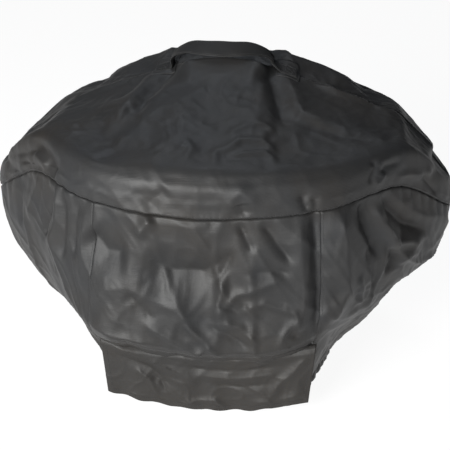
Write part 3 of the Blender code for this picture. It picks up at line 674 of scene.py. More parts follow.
def add_uv(obj, across, down):
    """A UV map in metres along the cloth, for the weave."""
    layer = obj.data.uv_layers.new(name="cloth")
    vertex_of_loop = np.empty(len(obj.data.loops), dtype=int)
    obj.data.loops.foreach_get("vertex_index", vertex_of_loop)
    uv = np.stack([across.ravel()[vertex_of_loop], down.ravel()[vertex_of_loop]], axis=1)
    layer.data.foreach_set("uv", uv.ravel())


def distances_along(points):
    """Distances down and across a grid of points, from its first row and its first column."""
    down = np.linalg.norm(np.diff(points, axis=0, prepend=points[:1]), axis=2).cumsum(axis=0)
    across = np.linalg.norm(np.diff(points, axis=1, prepend=points[:, :1]), axis=2).cumsum(axis=1)
    return down, across


def apply_modifiers(obj):
    evaluated = obj.evaluated_get(bpy.context.evaluated_depsgraph_get())
    mesh = bpy.data.meshes.new_from_object(evaluated, preserve_all_data_layers=True,
                                           depsgraph=bpy.context.evaluated_depsgraph_get())
    mesh.name = obj.name
    obj.modifiers.clear()
    obj.data = mesh


def grid_object(name, points, material, thickness=0.0, closed=False, subdivide=False):
    """A smooth mesh through rows of points. With a thickness, the points are its outer face."""
    rows, columns = points.shape[:2]
    index = np.arange(rows * columns).reshape(rows, columns)
    obj = new_object(name, points.reshape(-1, 3), grid_faces(index, closed))
    down, across = distances_along(points)
    add_uv(obj, across, down)
    obj.data.materials.append(material)
    obj.data.shade_smooth()
    if subdivide:
        smooth = obj.modifiers.new("smooth", "SUBSURF")
        smooth.levels = 1
        smooth.render_levels = 1
    if thickness:
        solid = obj.modifiers.new("thickness", "SOLIDIFY")
        solid.thickness = thickness
        solid.offset = -1.0
    if obj.modifiers:
        apply_modifiers(obj)
    return obj


def place(obj, material_slot, body=None, blend=None, instead_of=()):
    """Hides the imported nodes a piece stands for, then bakes its transform if it has a blend, or else
    attaches it to its body's empty.
    """
    if instead_of:
        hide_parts(*instead_of)
    if blend:
        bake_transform(obj)
    else:
        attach(obj, body or "cover")
    return obj


# ---------------------------------------------------------------- sewn panels
PANEL_COLUMN = 1 / 52  # stations between two columns of a panel
PANEL_ROWS_PER_RING = (44, 38, 14, 14, 14, 29, 29, 26, 18, 12)
EDGE_LINES = (0.0010, 0.0022, 0.0040)  # metres in from a panel's edge
SEAM_DEPTH = 0.0030
SEAM_WIDTH = 0.0017
UPRIGHT_SEAM_DEPTH = 0.0006
PUCKERS = 210
PUCKER_HEIGHT = 0.0008
PUCKER_REACH = 0.010
CREASE_FREE_EDGE = 0.012
CREASE_SIZES = ((16.0, 0.0026), (34.0, 0.0014), (80.0, 0.0005))  # creases to the metre, and their height
CREASED_RINGS = ((ARCH, 0.35), (TOP, 0.45), (RIDGE_IN, 0.30), (MAIN_SEAM, 0.25), (BULGE, 0.8), (HEM, 1.0))
PANELS = (
    ("top_front_panel", -TIP, TIP, ARCH, MAIN_SEAM),
    ("top_rear_panel", TIP, STATIONS - TIP, ARCH, MAIN_SEAM),
    ("front_skirt_upper", -FRONT_SEAM, FRONT_SEAM, MAIN_SEAM, FLAP_SEAM),
    ("front_skirt_lower", -FRONT_SEAM, FRONT_SEAM, FLAP_SEAM, HEM),
    ("right_skirt", FRONT_SEAM, REAR_SEAM, MAIN_SEAM, HEM),
    ("rear_skirt", REAR_SEAM, STATIONS - REAR_SEAM, MAIN_SEAM, HEM),
    ("left_skirt", STATIONS - REAR_SEAM, STATIONS - FRONT_SEAM, MAIN_SEAM, HEM),
)


def metres_per_unit(u, v, toward_u, toward_v):
    """How long one unit of u or v is on the cloth, looking from a place towards +u, -u, +v or -v."""
    step = 0.05
    ahead = cloth_point(u + toward_u * step, v + toward_v * step)
    return np.linalg.norm(ahead - cloth_point(u, v), axis=-1) / step


def beside(u, v, toward_u, toward_v, metres):
    """Places a distance away along the cloth."""
    scale = metres_per_unit(u, v, toward_u, toward_v)
    return u + toward_u * metres / scale, v + toward_v * metres / scale


def with_edge_lines(lines, first_scale, last_scale):
    """Lines with a few more beside both ends."""
    first = [lines[0] + metres / first_scale for metres in EDGE_LINES]
    last = [lines[-1] - metres / last_scale for metres in reversed(EDGE_LINES)]
    spare = 0.3 * (lines[1] - lines[0])
    kept = [line for line in lines[1:-1] if first[-1] + spare < line < last[0] - spare]
    return np.array([lines[0], *first, *kept, *last, lines[-1]])


def panel_places(first_u, last_u, first_v, last_v):
    """The u and v of a panel's grid, closer together beside its edges."""
    columns = np.linspace(first_u, last_u, round((last_u - first_u) / PANEL_COLUMN) + 1)
    rows = [ring + step / count for ring, count in enumerate(PANEL_ROWS_PER_RING) for step in range(count)]
    rows = [row for row in [*rows, HEM] if first_v <= row <= last_v]
    middle_u, middle_v = (first_u + last_u) / 2, (first_v + last_v) / 2
    columns = with_edge_lines(columns, metres_per_unit(first_u, middle_v, 1, 0),
                              metres_per_unit(last_u, middle_v, -1, 0))
    rows = with_edge_lines(rows, metres_per_unit(middle_u, first_v, 0, 1),
                           metres_per_unit(middle_u, last_v, 0, -1))
    return np.meshgrid(columns, rows)


def metres_from_edges(points):
    """How far each grid point is from its panel's nearest level edge and nearest upright edge."""
    down, across = distances_along(points)
    return np.minimum(down, down[-1] - down), np.minimum(across, across[:, -1:] - across)


def sewn_cloth(u, v, level_edge, upright_edge):
    """The worn cloth with fine creases, rolled into its seams, with puckers beside them.

    The edges are distances to the nearest level seam and the nearest upright seam, in metres.
    """
    points = worn_cloth(u, v)
    edge = np.minimum(level_edge, upright_edge)
    share = np.interp(v, *zip(*CREASED_RINGS)) * smoothstep(edge, 0.0, CREASE_FREE_EDGE)
    heights = share * ridged_noise(points, CREASE_SIZES, CRUMPLE_SLANT, CRUMPLE_STRETCH)
    heights -= SEAM_DEPTH * np.exp(-((level_edge / SEAM_WIDTH) ** 2)) * np.where(v > TUCK, 0.25, 1.0)
    heights -= UPRIGHT_SEAM_DEPTH * np.exp(-((upright_edge / SEAM_WIDTH) ** 2))
    heights += PUCKER_HEIGHT * gathers(u + 0.7 * v, PUCKERS, 1.0, 4.0) * np.exp(-edge / PUCKER_REACH)
    return points + cloth_normal(u, v) * heights[..., None]


def make_panels():
    for name, *limits in PANELS:
        u, v = panel_places(*limits)
        smooth_cloth = cloth_point(u, v)
        points = sewn_cloth(u, v, *metres_from_edges(smooth_cloth))
        obj = place(grid_object(name, points, FABRIC, FABRIC_THICKNESS), "coated_fabric", instead_of=[name])


# ---------------------------------------------------------------- seam tapes
TAPE_DEPTH = 0.0046
TAPE_THICKNESS = 0.0006
TAPE_REACH = 0.0075
TAPE_LINES = (-1.0, -0.5, 0.0, 0.5, 1.0)
ARCH_TAPE_END = 2.55
WING_TAPE_START = 1.8
TAPE_END = 0.05  # of a station or ring, left free at both ends
STEP_ALONG = 1 / 24  # stations
STEP_DOWN = 1 / 12  # rings
RING_TAPES = (
    ("main_seam_tape_front", MAIN_SEAM, -TIP, TIP),
    ("main_seam_tape_rear", MAIN_SEAM, TIP, STATIONS - TIP),
    ("flap_seam_tape", FLAP_SEAM, -FRONT_SEAM, FRONT_SEAM),
)
UPRIGHT_TAPES = (
    ("right_wing_tape", TIP, WING_TAPE_START, MAIN_SEAM - 0.5),
    ("left_wing_tape", -TIP, WING_TAPE_START, MAIN_SEAM - 0.5),
    ("right_front_seam_tape", FRONT_SEAM, MAIN_SEAM + 0.12, HEM),
    ("right_rear_seam_tape", REAR_SEAM, MAIN_SEAM + 0.12, HEM),
    ("left_front_seam_tape", -FRONT_SEAM, MAIN_SEAM + 0.12, HEM),
    ("left_rear_seam_tape", -REAR_SEAM, MAIN_SEAM + 0.12, HEM),
)


def make_tape(name, u, v):
    points = worn_cloth(u, v) - cloth_normal(u, v) * TAPE_DEPTH
    place(grid_object(name, points, TAPE, TAPE_THICKNESS), "seam_tape", instead_of=[name])


def make_tapes():
    for name, ring, first, last in RING_TAPES:
        u = np.arange(first + TAPE_END, last - TAPE_END + 1e-6, STEP_ALONG)
        rows = [beside(u, ring, 0, np.sign(line), abs(line) * TAPE_REACH) for line in TAPE_LINES]
        make_tape(name, *np.stack(rows, axis=1))
    for name, station, first, last in UPRIGHT_TAPES:
        v = np.arange(first + TAPE_END, last - TAPE_END, STEP_DOWN)
        columns = [beside(station, v, np.sign(line), 0, abs(line) * TAPE_REACH)[0] for line in TAPE_LINES]
        make_tape(name, np.stack(columns, axis=1), np.stack([v] * len(columns), axis=1))

    rows_u, rows_v = [], []
    for line in TAPE_LINES:
        u = np.arange(-ARCH_TAPE_END, ARCH_TAPE_END + 1e-6, STEP_ALONG)
        if line < 0:  # on the rear panel, whose stations mirror the front ones about the wing tips
            u = 2 * TIP - u
        _, v = beside(u, 0.0, 0, 1, abs(line) * TAPE_REACH)
        rows_u.append(u)
        rows_v.append(v)
    make_tape("arch_seam_tape", np.array(rows_u), np.array(rows_v))


# ---------------------------------------------------------------- the hem
CASING_PROFILE = (  # metres inwards from the cloth's lower edge, and height
    (0.0022, 0.0262), (0.0004, 0.0225), (-0.0010, 0.0150), (-0.0004, 0.0065), (0.0022, 0.0016), (0.0048, 0.0),
    (0.0078, 0.0018), (0.0092, 0.0070), (0.0092, 0.0130), (0.0090, 0.0180),
)
CASING_RIPPLE = 0.0012
CASING_THICKNESS = 0.0006
ELASTIC_DEPTH = 0.0048
ELASTIC_HEIGHT = 0.0085
ELASTIC_RADIUS = 0.0021
CORD_SIDES = 10


def flat_inwards(points):
    inwards = -points * (1.0, 1.0, 0.0)
    return inwards / np.linalg.norm(inwards, axis=-1, keepdims=True)


def make_hem():
    u = np.arange(0.0, STATIONS, 1 / 48)
    edge = worn_cloth(u[None, :], np.full((1, len(u)), float(HEM)))[0]
    inwards = flat_inwards(edge)
    ripple = CASING_RIPPLE * gathers(u, 3 * HEM_GATHERS, 0.9, 5.0)
    rows = []
    for distance, height in CASING_PROFILE:
        bulge = ripple * math.sin(math.pi * min(height / HEM_Z, 1.0))
        row = edge * (1.0, 1.0, 0.0) + inwards * (distance - bulge)[:, None]
        row[:, 2] = height
        rows.append(row)
    casing = grid_object("hem_casing", np.array(rows), FABRIC, CASING_THICKNESS, closed=True)
    place(casing, "coated_fabric", instead_of=["hem_casing"])

    path = edge * (1.0, 1.0, 0.0) + inwards * ELASTIC_DEPTH
    path[:, 2] = ELASTIC_HEIGHT
    elastic = closed_cord("hem_elastic", path[::2], inwards[::2], ELASTIC_RADIUS, ELASTIC)
    place(elastic, "elastic", instead_of=["hem_elastic"])


def closed_cord(name, path, sideways, radius, material):
    """A round cord along a closed path, with a direction at each point that is square to the path."""
    along = np.roll(path, -1, axis=0) - np.roll(path, 1, axis=0)
    up = np.cross(along, sideways)
    up /= np.linalg.norm(up, axis=1, keepdims=True)
    angles = np.arange(CORD_SIDES) * 2 * math.pi / CORD_SIDES
    rows = [path + sideways * math.cos(a) * radius + up * math.sin(a) * radius for a in angles]
    rows.append(rows[0])
    return grid_object(name, np.array(rows), material, closed=True)


# ---------------------------------------------------------------- the front flap
FLAP_Y = -0.2550
FLAP_CORNER_BACK = 0.006
FLAP_TOP = 0.1335
FLAP_TOP_CORNER_RISE = 0.0185
FLAP_BOTTOM = 0.006
FLAP_BOTTOM_CORNER_RISE = 0.026
FLAP_HALF_TOP = 0.199
FLAP_HALF_BOTTOM = 0.187
FLAP_TUCK = 0.0075  # how far its top edge goes back, into the seam
FLAP_GRID = (150, 52)
FLAP_FOLDS = (
    (((-1.4, 0.12), (-0.4, 0.15), (0.3, 0.15), (1.4, 0.1)), 0.01, 0.01, 0.004),
    (((-1.0, 0.06), (-0.62, 0.2), (-0.25, 0.4), (-0.08, 0.62)), 0.016, 0.01, 0.0048),
    (((-0.92, 0.24), (-0.55, 0.4), (-0.3, 0.72)), 0.01, 0.012, -0.0044),
    (((-0.7, 0.44), (-0.56, 0.6), (-0.48, 0.9)), 0.005, 0.006, 0.003),
    (((-0.56, 0.5), (-0.44, 0.62), (-0.4, 0.8)), 0.005, 0.006, -0.0024),
    (((-0.3, 0.3), (0.2, 0.33), (0.75, 0.27)), 0.006, 0.006, -0.0024),
    (((-0.2, 0.42), (0.3, 0.46), (0.72, 0.4)), 0.006, 0.006, 0.0022),
    (((0.0, 0.56), (0.35, 0.6), (0.66, 0.56)), 0.008, 0.008, -0.0026),
    (((0.96, 0.1), (0.84, 0.34), (0.68, 0.6), (0.6, 0.86)), 0.014, 0.009, 0.0048),
    (((-0.28, 1.0), (-0.12, 0.86), (0.08, 0.82), (0.22, 1.0)), 0.006, 0.006, 0.0028),
    (((0.4, 0.86), (0.7, 0.88), (0.95, 0.8)), 0.01, 0.01, 0.003),
)
FLAP_FOLD_STRENGTH = 1.2
FLAP_RIPPLE = 0.0022
FLAP_CREASES = 0.8
FLAP_EDGE_WAVE = 0.0016
FLAP_BINDING_TOP = 0.10  # share of the flap's height
FLAP_STITCH_IN = 0.009  # from its free edges
BINDING_WIDTH = 0.011
BINDING_BEHIND = 0.0013


def flap_point(across, down):
    """Points of the undisturbed flap: across from -1 to 1, down from 0 to 1."""
    across, down = np.broadcast_arrays(np.asarray(across, float), np.asarray(down, float))
    half = FLAP_HALF_TOP + (FLAP_HALF_BOTTOM - FLAP_HALF_TOP) * down
    top = FLAP_TOP + FLAP_TOP_CORNER_RISE * across**2
    bottom = FLAP_BOTTOM + FLAP_BOTTOM_CORNER_RISE * across**2
    back = FLAP_CORNER_BACK * across**2 + FLAP_TUCK * (1 - smoothstep(down, 0.0, 0.05))
    return np.stack([half * across, FLAP_Y + back, top + (bottom - top) * down], axis=-1)


def flap_cloth(across, down, behind=0.0):
    """The folded flap. Its folds fade out at its sewn top edge."""
    points = flap_point(across, down)
    heights = FLAP_FOLD_STRENGTH * sum(fold_height(points, fold, flap_point) for fold in FLAP_FOLDS)
    heights += FLAP_RIPPLE * np.sin(across * 17 + np.sin(across * 7)) * down**2
    heights += FLAP_CREASES * ridged_noise(points, CREASE_SIZES)
    heights *= smoothstep(down, 0.0, 0.12)
    points = points.copy()
    points[..., 1] += behind - heights
    points[..., 2] += FLAP_EDGE_WAVE * np.sin(across * 23 + 1.0) * smoothstep(down, 0.8, 1.0)
    return points


def make_flap():
    across, down = np.meshgrid(np.linspace(-1, 1, FLAP_GRID[0]), np.linspace(0, 1, FLAP_GRID[1]))
    panel = grid_object("flap_panel", flap_cloth(across, down), FABRIC, FABRIC_THICKNESS)
    place(panel, "coated_fabric", "front_flap", BLEND_FLAP, ["flap_panel"])

    height = FLAP_TOP - FLAP_BOTTOM
    share_down = BINDING_WIDTH / height
    share_across = BINDING_WIDTH / FLAP_HALF_BOTTOM
    down_side = (FLAP_BINDING_TOP, 1 - 1.2 * share_down, 36)
    bindings = (  # name, then the first place, last place and count, across and down
        ("flap_bottom_binding", (-1.0, 1.0, 110), (1 - share_down, 1.0, 5)),
        ("flap_left_binding", (-1.0, share_across - 1, 5), down_side),
        ("flap_right_binding", (1 - share_across, 1.0, 5), down_side),
    )
    for name, columns, rows in bindings:
        across, down = np.meshgrid(np.linspace(*columns), np.linspace(*rows))
        strip = grid_object(name, flap_cloth(across, down, BINDING_BEHIND), TAPE, TAPE_THICKNESS)
        place(strip, "seam_tape", "front_flap", BLEND_FLAP, [name])


# ---------------------------------------------------------------- the handle
PATCH_ENDS = (0.63, 0.93)  # stations under one sewn end
PATCH_HALF_WIDTH = 0.021
PATCH_GRID = (14, 12)
PATCH_LIFT = 0.0014
PATCH_THICKNESS = 0.0007
HANDLE_HALF = 0.098
HANDLE_X = -0.008
HANDLE_Y = 0.086
HANDLE_BASE = 0.5645
HANDLE_RISE = 0.054
HANDLE_ROUNDNESS = 0.45
HANDLE_LEAN = math.radians(36)
STRAP_HALF_WIDTH = 0.0185
STRAP_HALF_THICKNESS = 0.0013
STRAP_CURL = 0.0015
STRAP_PINCH = (6.0, 2.2)  # key where the strap is gathered, and how many keys that reaches
STRAP_PLEAT = 0.0022
STRAP_WAVE = 0.0006
SEWN_LIFT = 2.4 * STRAP_HALF_THICKNESS
SEWN_HALF_WIDTH = 0.012
SEWN_STATIONS = (0.87, 0.82, 0.77, 0.72, 0.67)
RISING_X = (0.0970, 0.0950, 0.0920, 0.0860, 0.0770, 0.0650, 0.0500, 0.0340, 0.0170, 0.0)
STRAP_STEPS_PER_KEY = 7
STRAP_SIDES = 20
WIDTH_BY_KEY = ((0, 0.0158), (3, 0.0152), (5, 0.0150), (8, 0.0175), (11, STRAP_HALF_WIDTH))


def across_arch(u, offset, lift):
    """Places near the arch seam, at a distance from it and a height off the worn cloth. Front is negative."""
    side_u = np.where(offset < 0, u, 2 * TIP - u)
    _, v = beside(side_u, 0.0, 0, 1, abs(offset))
    return worn_cloth(side_u, v) + cloth_normal(side_u, v) * lift


def strap_keys():
    """Points along the strap's middle line from right to left, and its width's direction at each."""
    sewn_u = np.array(SEWN_STATIONS)[None, :]
    middle = across_arch(sewn_u, 0.0 * sewn_u, SEWN_LIFT)[0]
    front = across_arch(sewn_u, 0.0 * sewn_u - SEWN_HALF_WIDTH, SEWN_LIFT)[0]
    rear = across_arch(sewn_u, 0.0 * sewn_u + SEWN_HALF_WIDTH, SEWN_LIFT)[0]
    points = list(middle)
    sideways = list((rear - front) / np.linalg.norm(rear - front, axis=1, keepdims=True))
    for x in RISING_X:
        share = 1 - (x / HANDLE_HALF) ** 2
        height, lean = HANDLE_RISE * share**HANDLE_ROUNDNESS, HANDLE_LEAN * share
        back, up = height * math.sin(lean), height * math.cos(lean)
        points.append(np.array((x, HANDLE_Y - back, HANDLE_BASE + up)))
        sideways.append(np.array((0.0, math.cos(lean), math.sin(lean))))
    mirror = np.array((-1.0, 1.0, 1.0))
    points += [point * mirror for point in reversed(points[:-1])]
    in_the_air = len(SEWN_STATIONS)
    for point in points[in_the_air:-in_the_air]:
        point[0] += HANDLE_X
    sideways += [direction * mirror for direction in reversed(sideways[:-1])]
    return np.array(points), np.array(sideways)


def along_keys(keys, steps):
    """A smooth line through key values, at fractional key numbers."""
    low = np.clip(np.floor(steps).astype(int), 0, len(keys) - 2)
    around = (keys[np.clip(low + step, 0, len(keys) - 1)] for step in (-1, 0, 1, 2))
    return catmull_rom(*around, steps - low)


def strap_frame():
    """The strap's middle line, its width's direction, its upward direction and its half width."""
    keys, directions = strap_keys()
    steps = np.linspace(0, len(keys) - 1, (len(keys) - 1) * STRAP_STEPS_PER_KEY + 1)
    path, sideways = along_keys(keys, steps), along_keys(directions, steps)
    sideways /= np.linalg.norm(sideways, axis=1, keepdims=True)
    up = np.cross(np.gradient(path, axis=0), sideways)
    up /= np.linalg.norm(up, axis=1, keepdims=True)
    up *= np.sign(up[len(up) // 2, 2])
    from_end = np.minimum(steps, len(keys) - 1 - steps)
    half = np.interp(from_end, *zip(*WIDTH_BY_KEY))
    return path, sideways, up, half, from_end


def strap_surface(place_across):
    """Points of the strap's middle surface, at a place across it from -1 to 1."""
    path, sideways, up, half, from_end = strap_frame()
    pinched_at, reach = STRAP_PINCH
    pinch = np.exp(-(((from_end - pinched_at) / reach) ** 2))
    curl = STRAP_CURL * smoothstep(from_end, 5, 11) * place_across**2
    pleats = STRAP_PLEAT * pinch * np.cos(place_across * 7.0 + 0.4 * np.sin(path[:, 0] * 60))
    waves = STRAP_WAVE * np.sin(path[:, 0] * 120 + place_across * 3.0) * smoothstep(from_end, 5, 9)
    lift = pleats + waves - curl
    return path + sideways * (half * place_across)[:, None] + up * lift[:, None], up


def make_strap():
    rows = []
    for side in range(STRAP_SIDES):
        angle = side * 2 * math.pi / STRAP_SIDES
        flatness = np.sign(math.cos(angle)) * abs(math.cos(angle)) ** 0.55
        thickness = np.sign(math.sin(angle)) * abs(math.sin(angle)) ** 0.6 * STRAP_HALF_THICKNESS
        surface, up = strap_surface(flatness)
        rows.append(surface + up * thickness)
    rows.append(rows[0])
    strap = grid_object("handle_strap", np.array(rows)[::-1], STRAP_FABRIC)
    ends = ["handle_left_end", "handle_right_end"]
    place(strap, "strap_fabric", "handle", BLEND_STRAP, ["handle_strap", *ends])


def make_patches():
    for side, name in ((1, "right"), (-1, "left")):
        stations = np.linspace(*PATCH_ENDS, PATCH_GRID[0]) * side
        offsets = np.linspace(-PATCH_HALF_WIDTH, PATCH_HALF_WIDTH, PATCH_GRID[1])
        u, offset = np.meshgrid(np.sort(stations), offsets)
        points = across_arch(u, offset, PATCH_LIFT)[::-1]
        patch = grid_object(f"handle_{name}_patch", points, FABRIC, PATCH_THICKNESS, subdivide=True)
        place(patch, "coated_fabric", instead_of=[f"handle_{name}_patch"])


# ---------------------------------------------------------------- stitches
STITCH_PITCH = 0.0042
STITCH_LENGTH = 0.0033
STITCH_RADIUS = 0.00042
STITCH_SECTIONS = ((-0.5, 0.35), (-0.3, 0.9), (0.3, 0.9), (0.5, 0.35))  # along it, and across
STITCH_SIDES = 5
SEAM_STITCH_IN = 0.0042  # from the seam
HEM_STITCH_IN = 0.002
STRAP_STITCH_PLACE = 0.80  # share of the strap's half width
LINE_STEP = 1 / 40  # stations between the points of a line of stitches
LINE_STEP_DOWN = 1 / 30  # rings
TACK_ENDS = (0.73, 0.84)  # stations
TACK_HALF_WIDTH = 0.010


def stitch_faces(first):
    """The faces of one stitch, whose vertices start at a number."""
    faces = []
    for here in range(first, first + (len(STITCH_SECTIONS) - 1) * STITCH_SIDES, STITCH_SIDES):
        after = here + STITCH_SIDES
        for side in range(STITCH_SIDES):
            following = (side + 1) % STITCH_SIDES
            faces.append((here + side, here + following, after + following, after + side))
    last = first + (len(STITCH_SECTIONS) - 1) * STITCH_SIDES
    faces.append(tuple(range(first, first + STITCH_SIDES))[::-1])
    faces.append(tuple(range(last, last + STITCH_SIDES)))
    return faces


def stitch_row(line, normals):
    """Vertices and faces of separate stitches along a line of points that lies on the cloth."""
    gaps = np.linalg.norm(np.diff(line, axis=0), axis=1)
    travelled = np.concatenate([[0.0], np.cumsum(gaps)])

    def at(values, distance):
        return np.array([np.interp(distance, travelled, values[:, axis]) for axis in range(3)])

    vertices, faces = [], []
    for middle in np.arange(STITCH_PITCH / 2, travelled[-1] - STITCH_LENGTH / 2, STITCH_PITCH):
        start = at(line, middle - 0.5 * STITCH_LENGTH)
        end = at(line, middle + 0.5 * STITCH_LENGTH)
        normal = at(normals, middle)
        across = np.cross((end - start) / np.linalg.norm(end - start), normal)
        across /= np.linalg.norm(across)
        faces += stitch_faces(len(vertices))
        for share, size in STITCH_SECTIONS:
            centre = (start + end) / 2 + (end - start) * share
            for side in range(STITCH_SIDES):
                angle = side * 2 * math.pi / STITCH_SIDES
                offset = across * math.cos(angle) + normal * math.sin(angle)
                vertices.append(centre + offset * size * STITCH_RADIUS)
    return vertices, faces


def stitches(name, rows, body="cover", blend=None, instead_of=()):
    """One piece out of several rows of stitches."""
    vertices, faces = [], []
    for line, normals in rows:
        row_vertices, row_faces = stitch_row(line, normals)
        faces += [tuple(index + len(vertices) for index in face) for face in row_faces]
        vertices += row_vertices
    obj = new_object(name, vertices, faces)
    obj.data.materials.append(THREAD)
    obj.data.shade_smooth()
    return place(obj, "thread", body, blend, instead_of)


def seam_line(u, v, level_edge=1.0, upright_edge=1.0):
    """A stitch line on the sewn cloth, and its normals, for places a distance from the seam."""
    u, v = (np.atleast_2d(np.broadcast_to(values, np.broadcast(u, v).shape)) for values in (u, v))
    normals = cloth_normal(u, v)
    points = sewn_cloth(u, v, np.full(u.shape, level_edge), np.full(u.shape, upright_edge))
    return (points + normals * STITCH_RADIUS * 0.4)[0], normals[0]


def make_seam_stitches():
    round_it = np.arange(0.0, STATIONS + 1e-6, LINE_STEP)
    main = [seam_line(*beside(round_it, float(MAIN_SEAM), 0, -1, SEAM_STITCH_IN), SEAM_STITCH_IN)]
    stitches("main_seam_stitches", main)

    over_the_top = np.arange(0.15 - TIP, TIP - 0.15, LINE_STEP)
    arch = [seam_line(*beside(over_the_top, 0.0, 0, 1, SEAM_STITCH_IN), SEAM_STITCH_IN)]
    stitches("arch_seam_stitches", arch)

    upright = []
    down = np.arange(MAIN_SEAM + 0.1, HEM - 0.1, LINE_STEP_DOWN)
    wing = np.arange(0.4, MAIN_SEAM - 0.3, LINE_STEP_DOWN)
    seams = ((FRONT_SEAM, 1, down), (REAR_SEAM, -1, down), (-REAR_SEAM, 1, down), (-FRONT_SEAM, -1, down),
             (TIP, 1, wing), (-TIP, -1, wing))
    for station, direction, v in seams:
        places = beside(station, v, direction, 0, SEAM_STITCH_IN)
        upright.append(seam_line(*places, upright_edge=SEAM_STITCH_IN))
    stitches("side_seam_stitches", upright)

    front = np.arange(-FRONT_SEAM + 0.03, FRONT_SEAM - 0.03, LINE_STEP)
    above_flap = beside(front, float(FLAP_SEAM), 0, -1, SEAM_STITCH_IN)
    stitches("flap_seam_stitches", [seam_line(*above_flap, SEAM_STITCH_IN)])
    above_hem = beside(round_it, float(HEM), 0, -1, HEM_STITCH_IN)
    stitches("hem_stitches", [seam_line(*above_hem, HEM_STITCH_IN)])


def flap_line(across, down):
    points = flap_cloth(np.atleast_2d(across), np.atleast_2d(down))[0]
    return points + (0.0, -STITCH_RADIUS * 0.4, 0.0), np.tile((0.0, -1.0, 0.0), (len(points), 1))


def make_flap_stitches():
    in_from_side = FLAP_STITCH_IN / FLAP_HALF_BOTTOM
    in_from_bottom = FLAP_STITCH_IN / (FLAP_TOP - FLAP_BOTTOM)
    across = np.linspace(in_from_side - 1, 1 - in_from_side, 120)
    down = np.linspace(0.10, 1 - in_from_bottom, 40)
    rows = [flap_line(across, np.full(across.shape, 1 - in_from_bottom))]
    for side in (-1, 1):
        rows.append(flap_line(np.full(down.shape, side * (1 - in_from_side)), down))
    stitches("flap_stitches", rows, "front_flap", BLEND_FLAP)


def make_strap_stitches():
    rows = []
    for side in (-STRAP_STITCH_PLACE, STRAP_STITCH_PLACE):
        surface, up = strap_surface(side)
        rows.append((surface + up * STRAP_HALF_THICKNESS * 0.95, up))
    stitches("strap_stitches", rows, "handle", BLEND_STRAP)

    near, far = TACK_ENDS
    front_near, rear_near = (near, -TACK_HALF_WIDTH), (near, TACK_HALF_WIDTH)
    front_far, rear_far = (far, -TACK_HALF_WIDTH), (far, TACK_HALF_WIDTH)
    box = (front_near, rear_near, rear_far, front_far, front_near)
    lift = 4.1 * STRAP_HALF_THICKNESS
    for side, name in ((1, "right"), (-1, "left")):
        rows = []
        for line in (box, (front_near, rear_far), (rear_near, front_far)):
            keys = np.array(line)
            steps = np.linspace(0, len(keys) - 1, 20 * (len(keys) - 1) + 1)
            u = side * np.interp(steps, range(len(keys)), keys[:, 0])[None, :]
            offset = np.interp(steps, range(len(keys)), keys[:, 1])[None, :]
            rows.append((across_arch(u, offset, lift)[0], cloth_normal(u, 0 * u)[0]))
        stitches(f"handle_{name}_bar_tack", rows, instead_of=[f"handle_{name}_bar_tack"])


# ---------------------------------------------------------------- the studio
FLOOR_SIZE = 14.0
FLOOR_HEIGHT = -0.0002
FLOOR_PALENESS = 0.12
FLOOR_GLOW = 0.93
BACKDROP_FOOT = -0.001
BACKDROP_HEIGHT = 6.0
BACKDROP_SIDES = 96
CAMERA_TARGET = (0.004, 0.014, 0.261)
CAMERA_DISTANCE = 2.6
CAMERA_AZIMUTH = math.radians(6.2)
CAMERA_ELEVATION = math.radians(25)
CAMERA_LENS = 105.9
LIGHTS = (  # name, place, watts, size and colour
    ("key", (-1.2, -2.9, 1.30), 202, 1.4, (1.0, 1.0, 0.99)),
    ("over_the_top", (-0.28, 0.90, 2.66), 12.5, 0.7, (0.86, 0.92, 1.0)),
)
HORIZON = (0.06, 0.06, 0.062, 1.0)
ZENITH = (0.045, 0.048, 0.055, 1.0)


def make_floor():
    half = FLOOR_SIZE / 2
    corners = [(-half, -half, 0.0), (half, -half, 0.0), (half, half, 0.0), (-half, half, 0.0)]
    floor = new_object("floor", corners, [(0, 1, 2, 3)])
    floor.location.z = FLOOR_HEIGHT
    floor.data.materials.append(stage_material("pale_floor", FLOOR_PALENESS, FLOOR_GLOW))


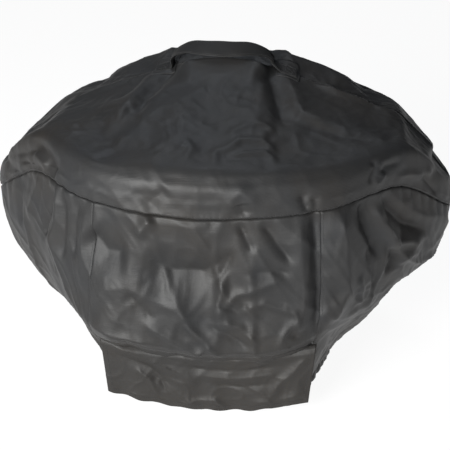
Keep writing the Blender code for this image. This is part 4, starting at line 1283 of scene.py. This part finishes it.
def make_backdrop():
    """A pale wall round the floor, for level views. It lights nothing and throws no shadow."""
    angles = [side * 2 * math.pi / BACKDROP_SIDES for side in range(BACKDROP_SIDES)]
    foot = [(FLOOR_SIZE / 2 * math.cos(angle), FLOOR_SIZE / 2 * math.sin(angle)) for angle in angles]
    corners = [(x, y, height) for height in (BACKDROP_FOOT, BACKDROP_HEIGHT) for x, y in foot]
    faces = []
    for side in range(BACKDROP_SIDES):
        following = (side + 1) % BACKDROP_SIDES
        faces.append((side, following, following + BACKDROP_SIDES, side + BACKDROP_SIDES))
    wall = new_object("backdrop", corners, faces)
    wall.data.materials.append(stage_material("pale_backdrop", 0.0, FLOOR_GLOW))
    wall.visible_diffuse = False
    wall.visible_glossy = False
    wall.visible_shadow = False


def make_camera():
    direction = Vector((math.sin(CAMERA_AZIMUTH) * math.cos(CAMERA_ELEVATION),
                        -math.cos(CAMERA_AZIMUTH) * math.cos(CAMERA_ELEVATION), math.sin(CAMERA_ELEVATION)))
    camera = bpy.data.objects.new("camera", bpy.data.cameras.new("camera"))
    camera.location = Vector(CAMERA_TARGET) + direction * CAMERA_DISTANCE
    camera.rotation_euler = direction.to_track_quat("Z", "Y").to_euler()
    camera.data.lens = CAMERA_LENS
    bpy.context.scene.collection.objects.link(camera)
    bpy.context.scene.camera = camera


def make_lights():
    for name, where, power, size, colour in LIGHTS:
        light = bpy.data.lights.new(name, "AREA")
        light.size = size
        light.energy = power
        light.color = colour
        obj = bpy.data.objects.new(name, light)
        obj.location = where
        obj.rotation_euler = (Vector(CAMERA_TARGET) - Vector(where)).to_track_quat("-Z", "Y").to_euler()
        bpy.context.scene.collection.objects.link(obj)

    world = bpy.data.worlds.new("studio")
    world.use_nodes = True
    bpy.context.scene.world = world
    tree = world.node_tree
    direction = node(tree, "ShaderNodeTexCoord").outputs["Generated"]
    height = node(tree, "ShaderNodeSeparateXYZ", {"Vector": direction}).outputs["Z"]
    sky = mixed_colour(tree, ramp(tree, height, 0.05, 0.75), HORIZON, ZENITH)
    tree.links.new(sky, tree.nodes["Background"].inputs["Color"])


# ---------------------------------------------------------------- the scene
make_panels()
make_tapes()
make_hem()
make_flap()
make_patches()
make_strap()
make_seam_stitches()
make_flap_stitches()
make_strap_stitches()
make_floor()
make_backdrop()
make_camera()
make_lights()
bpy.context.scene.view_settings.view_transform = "Standard"
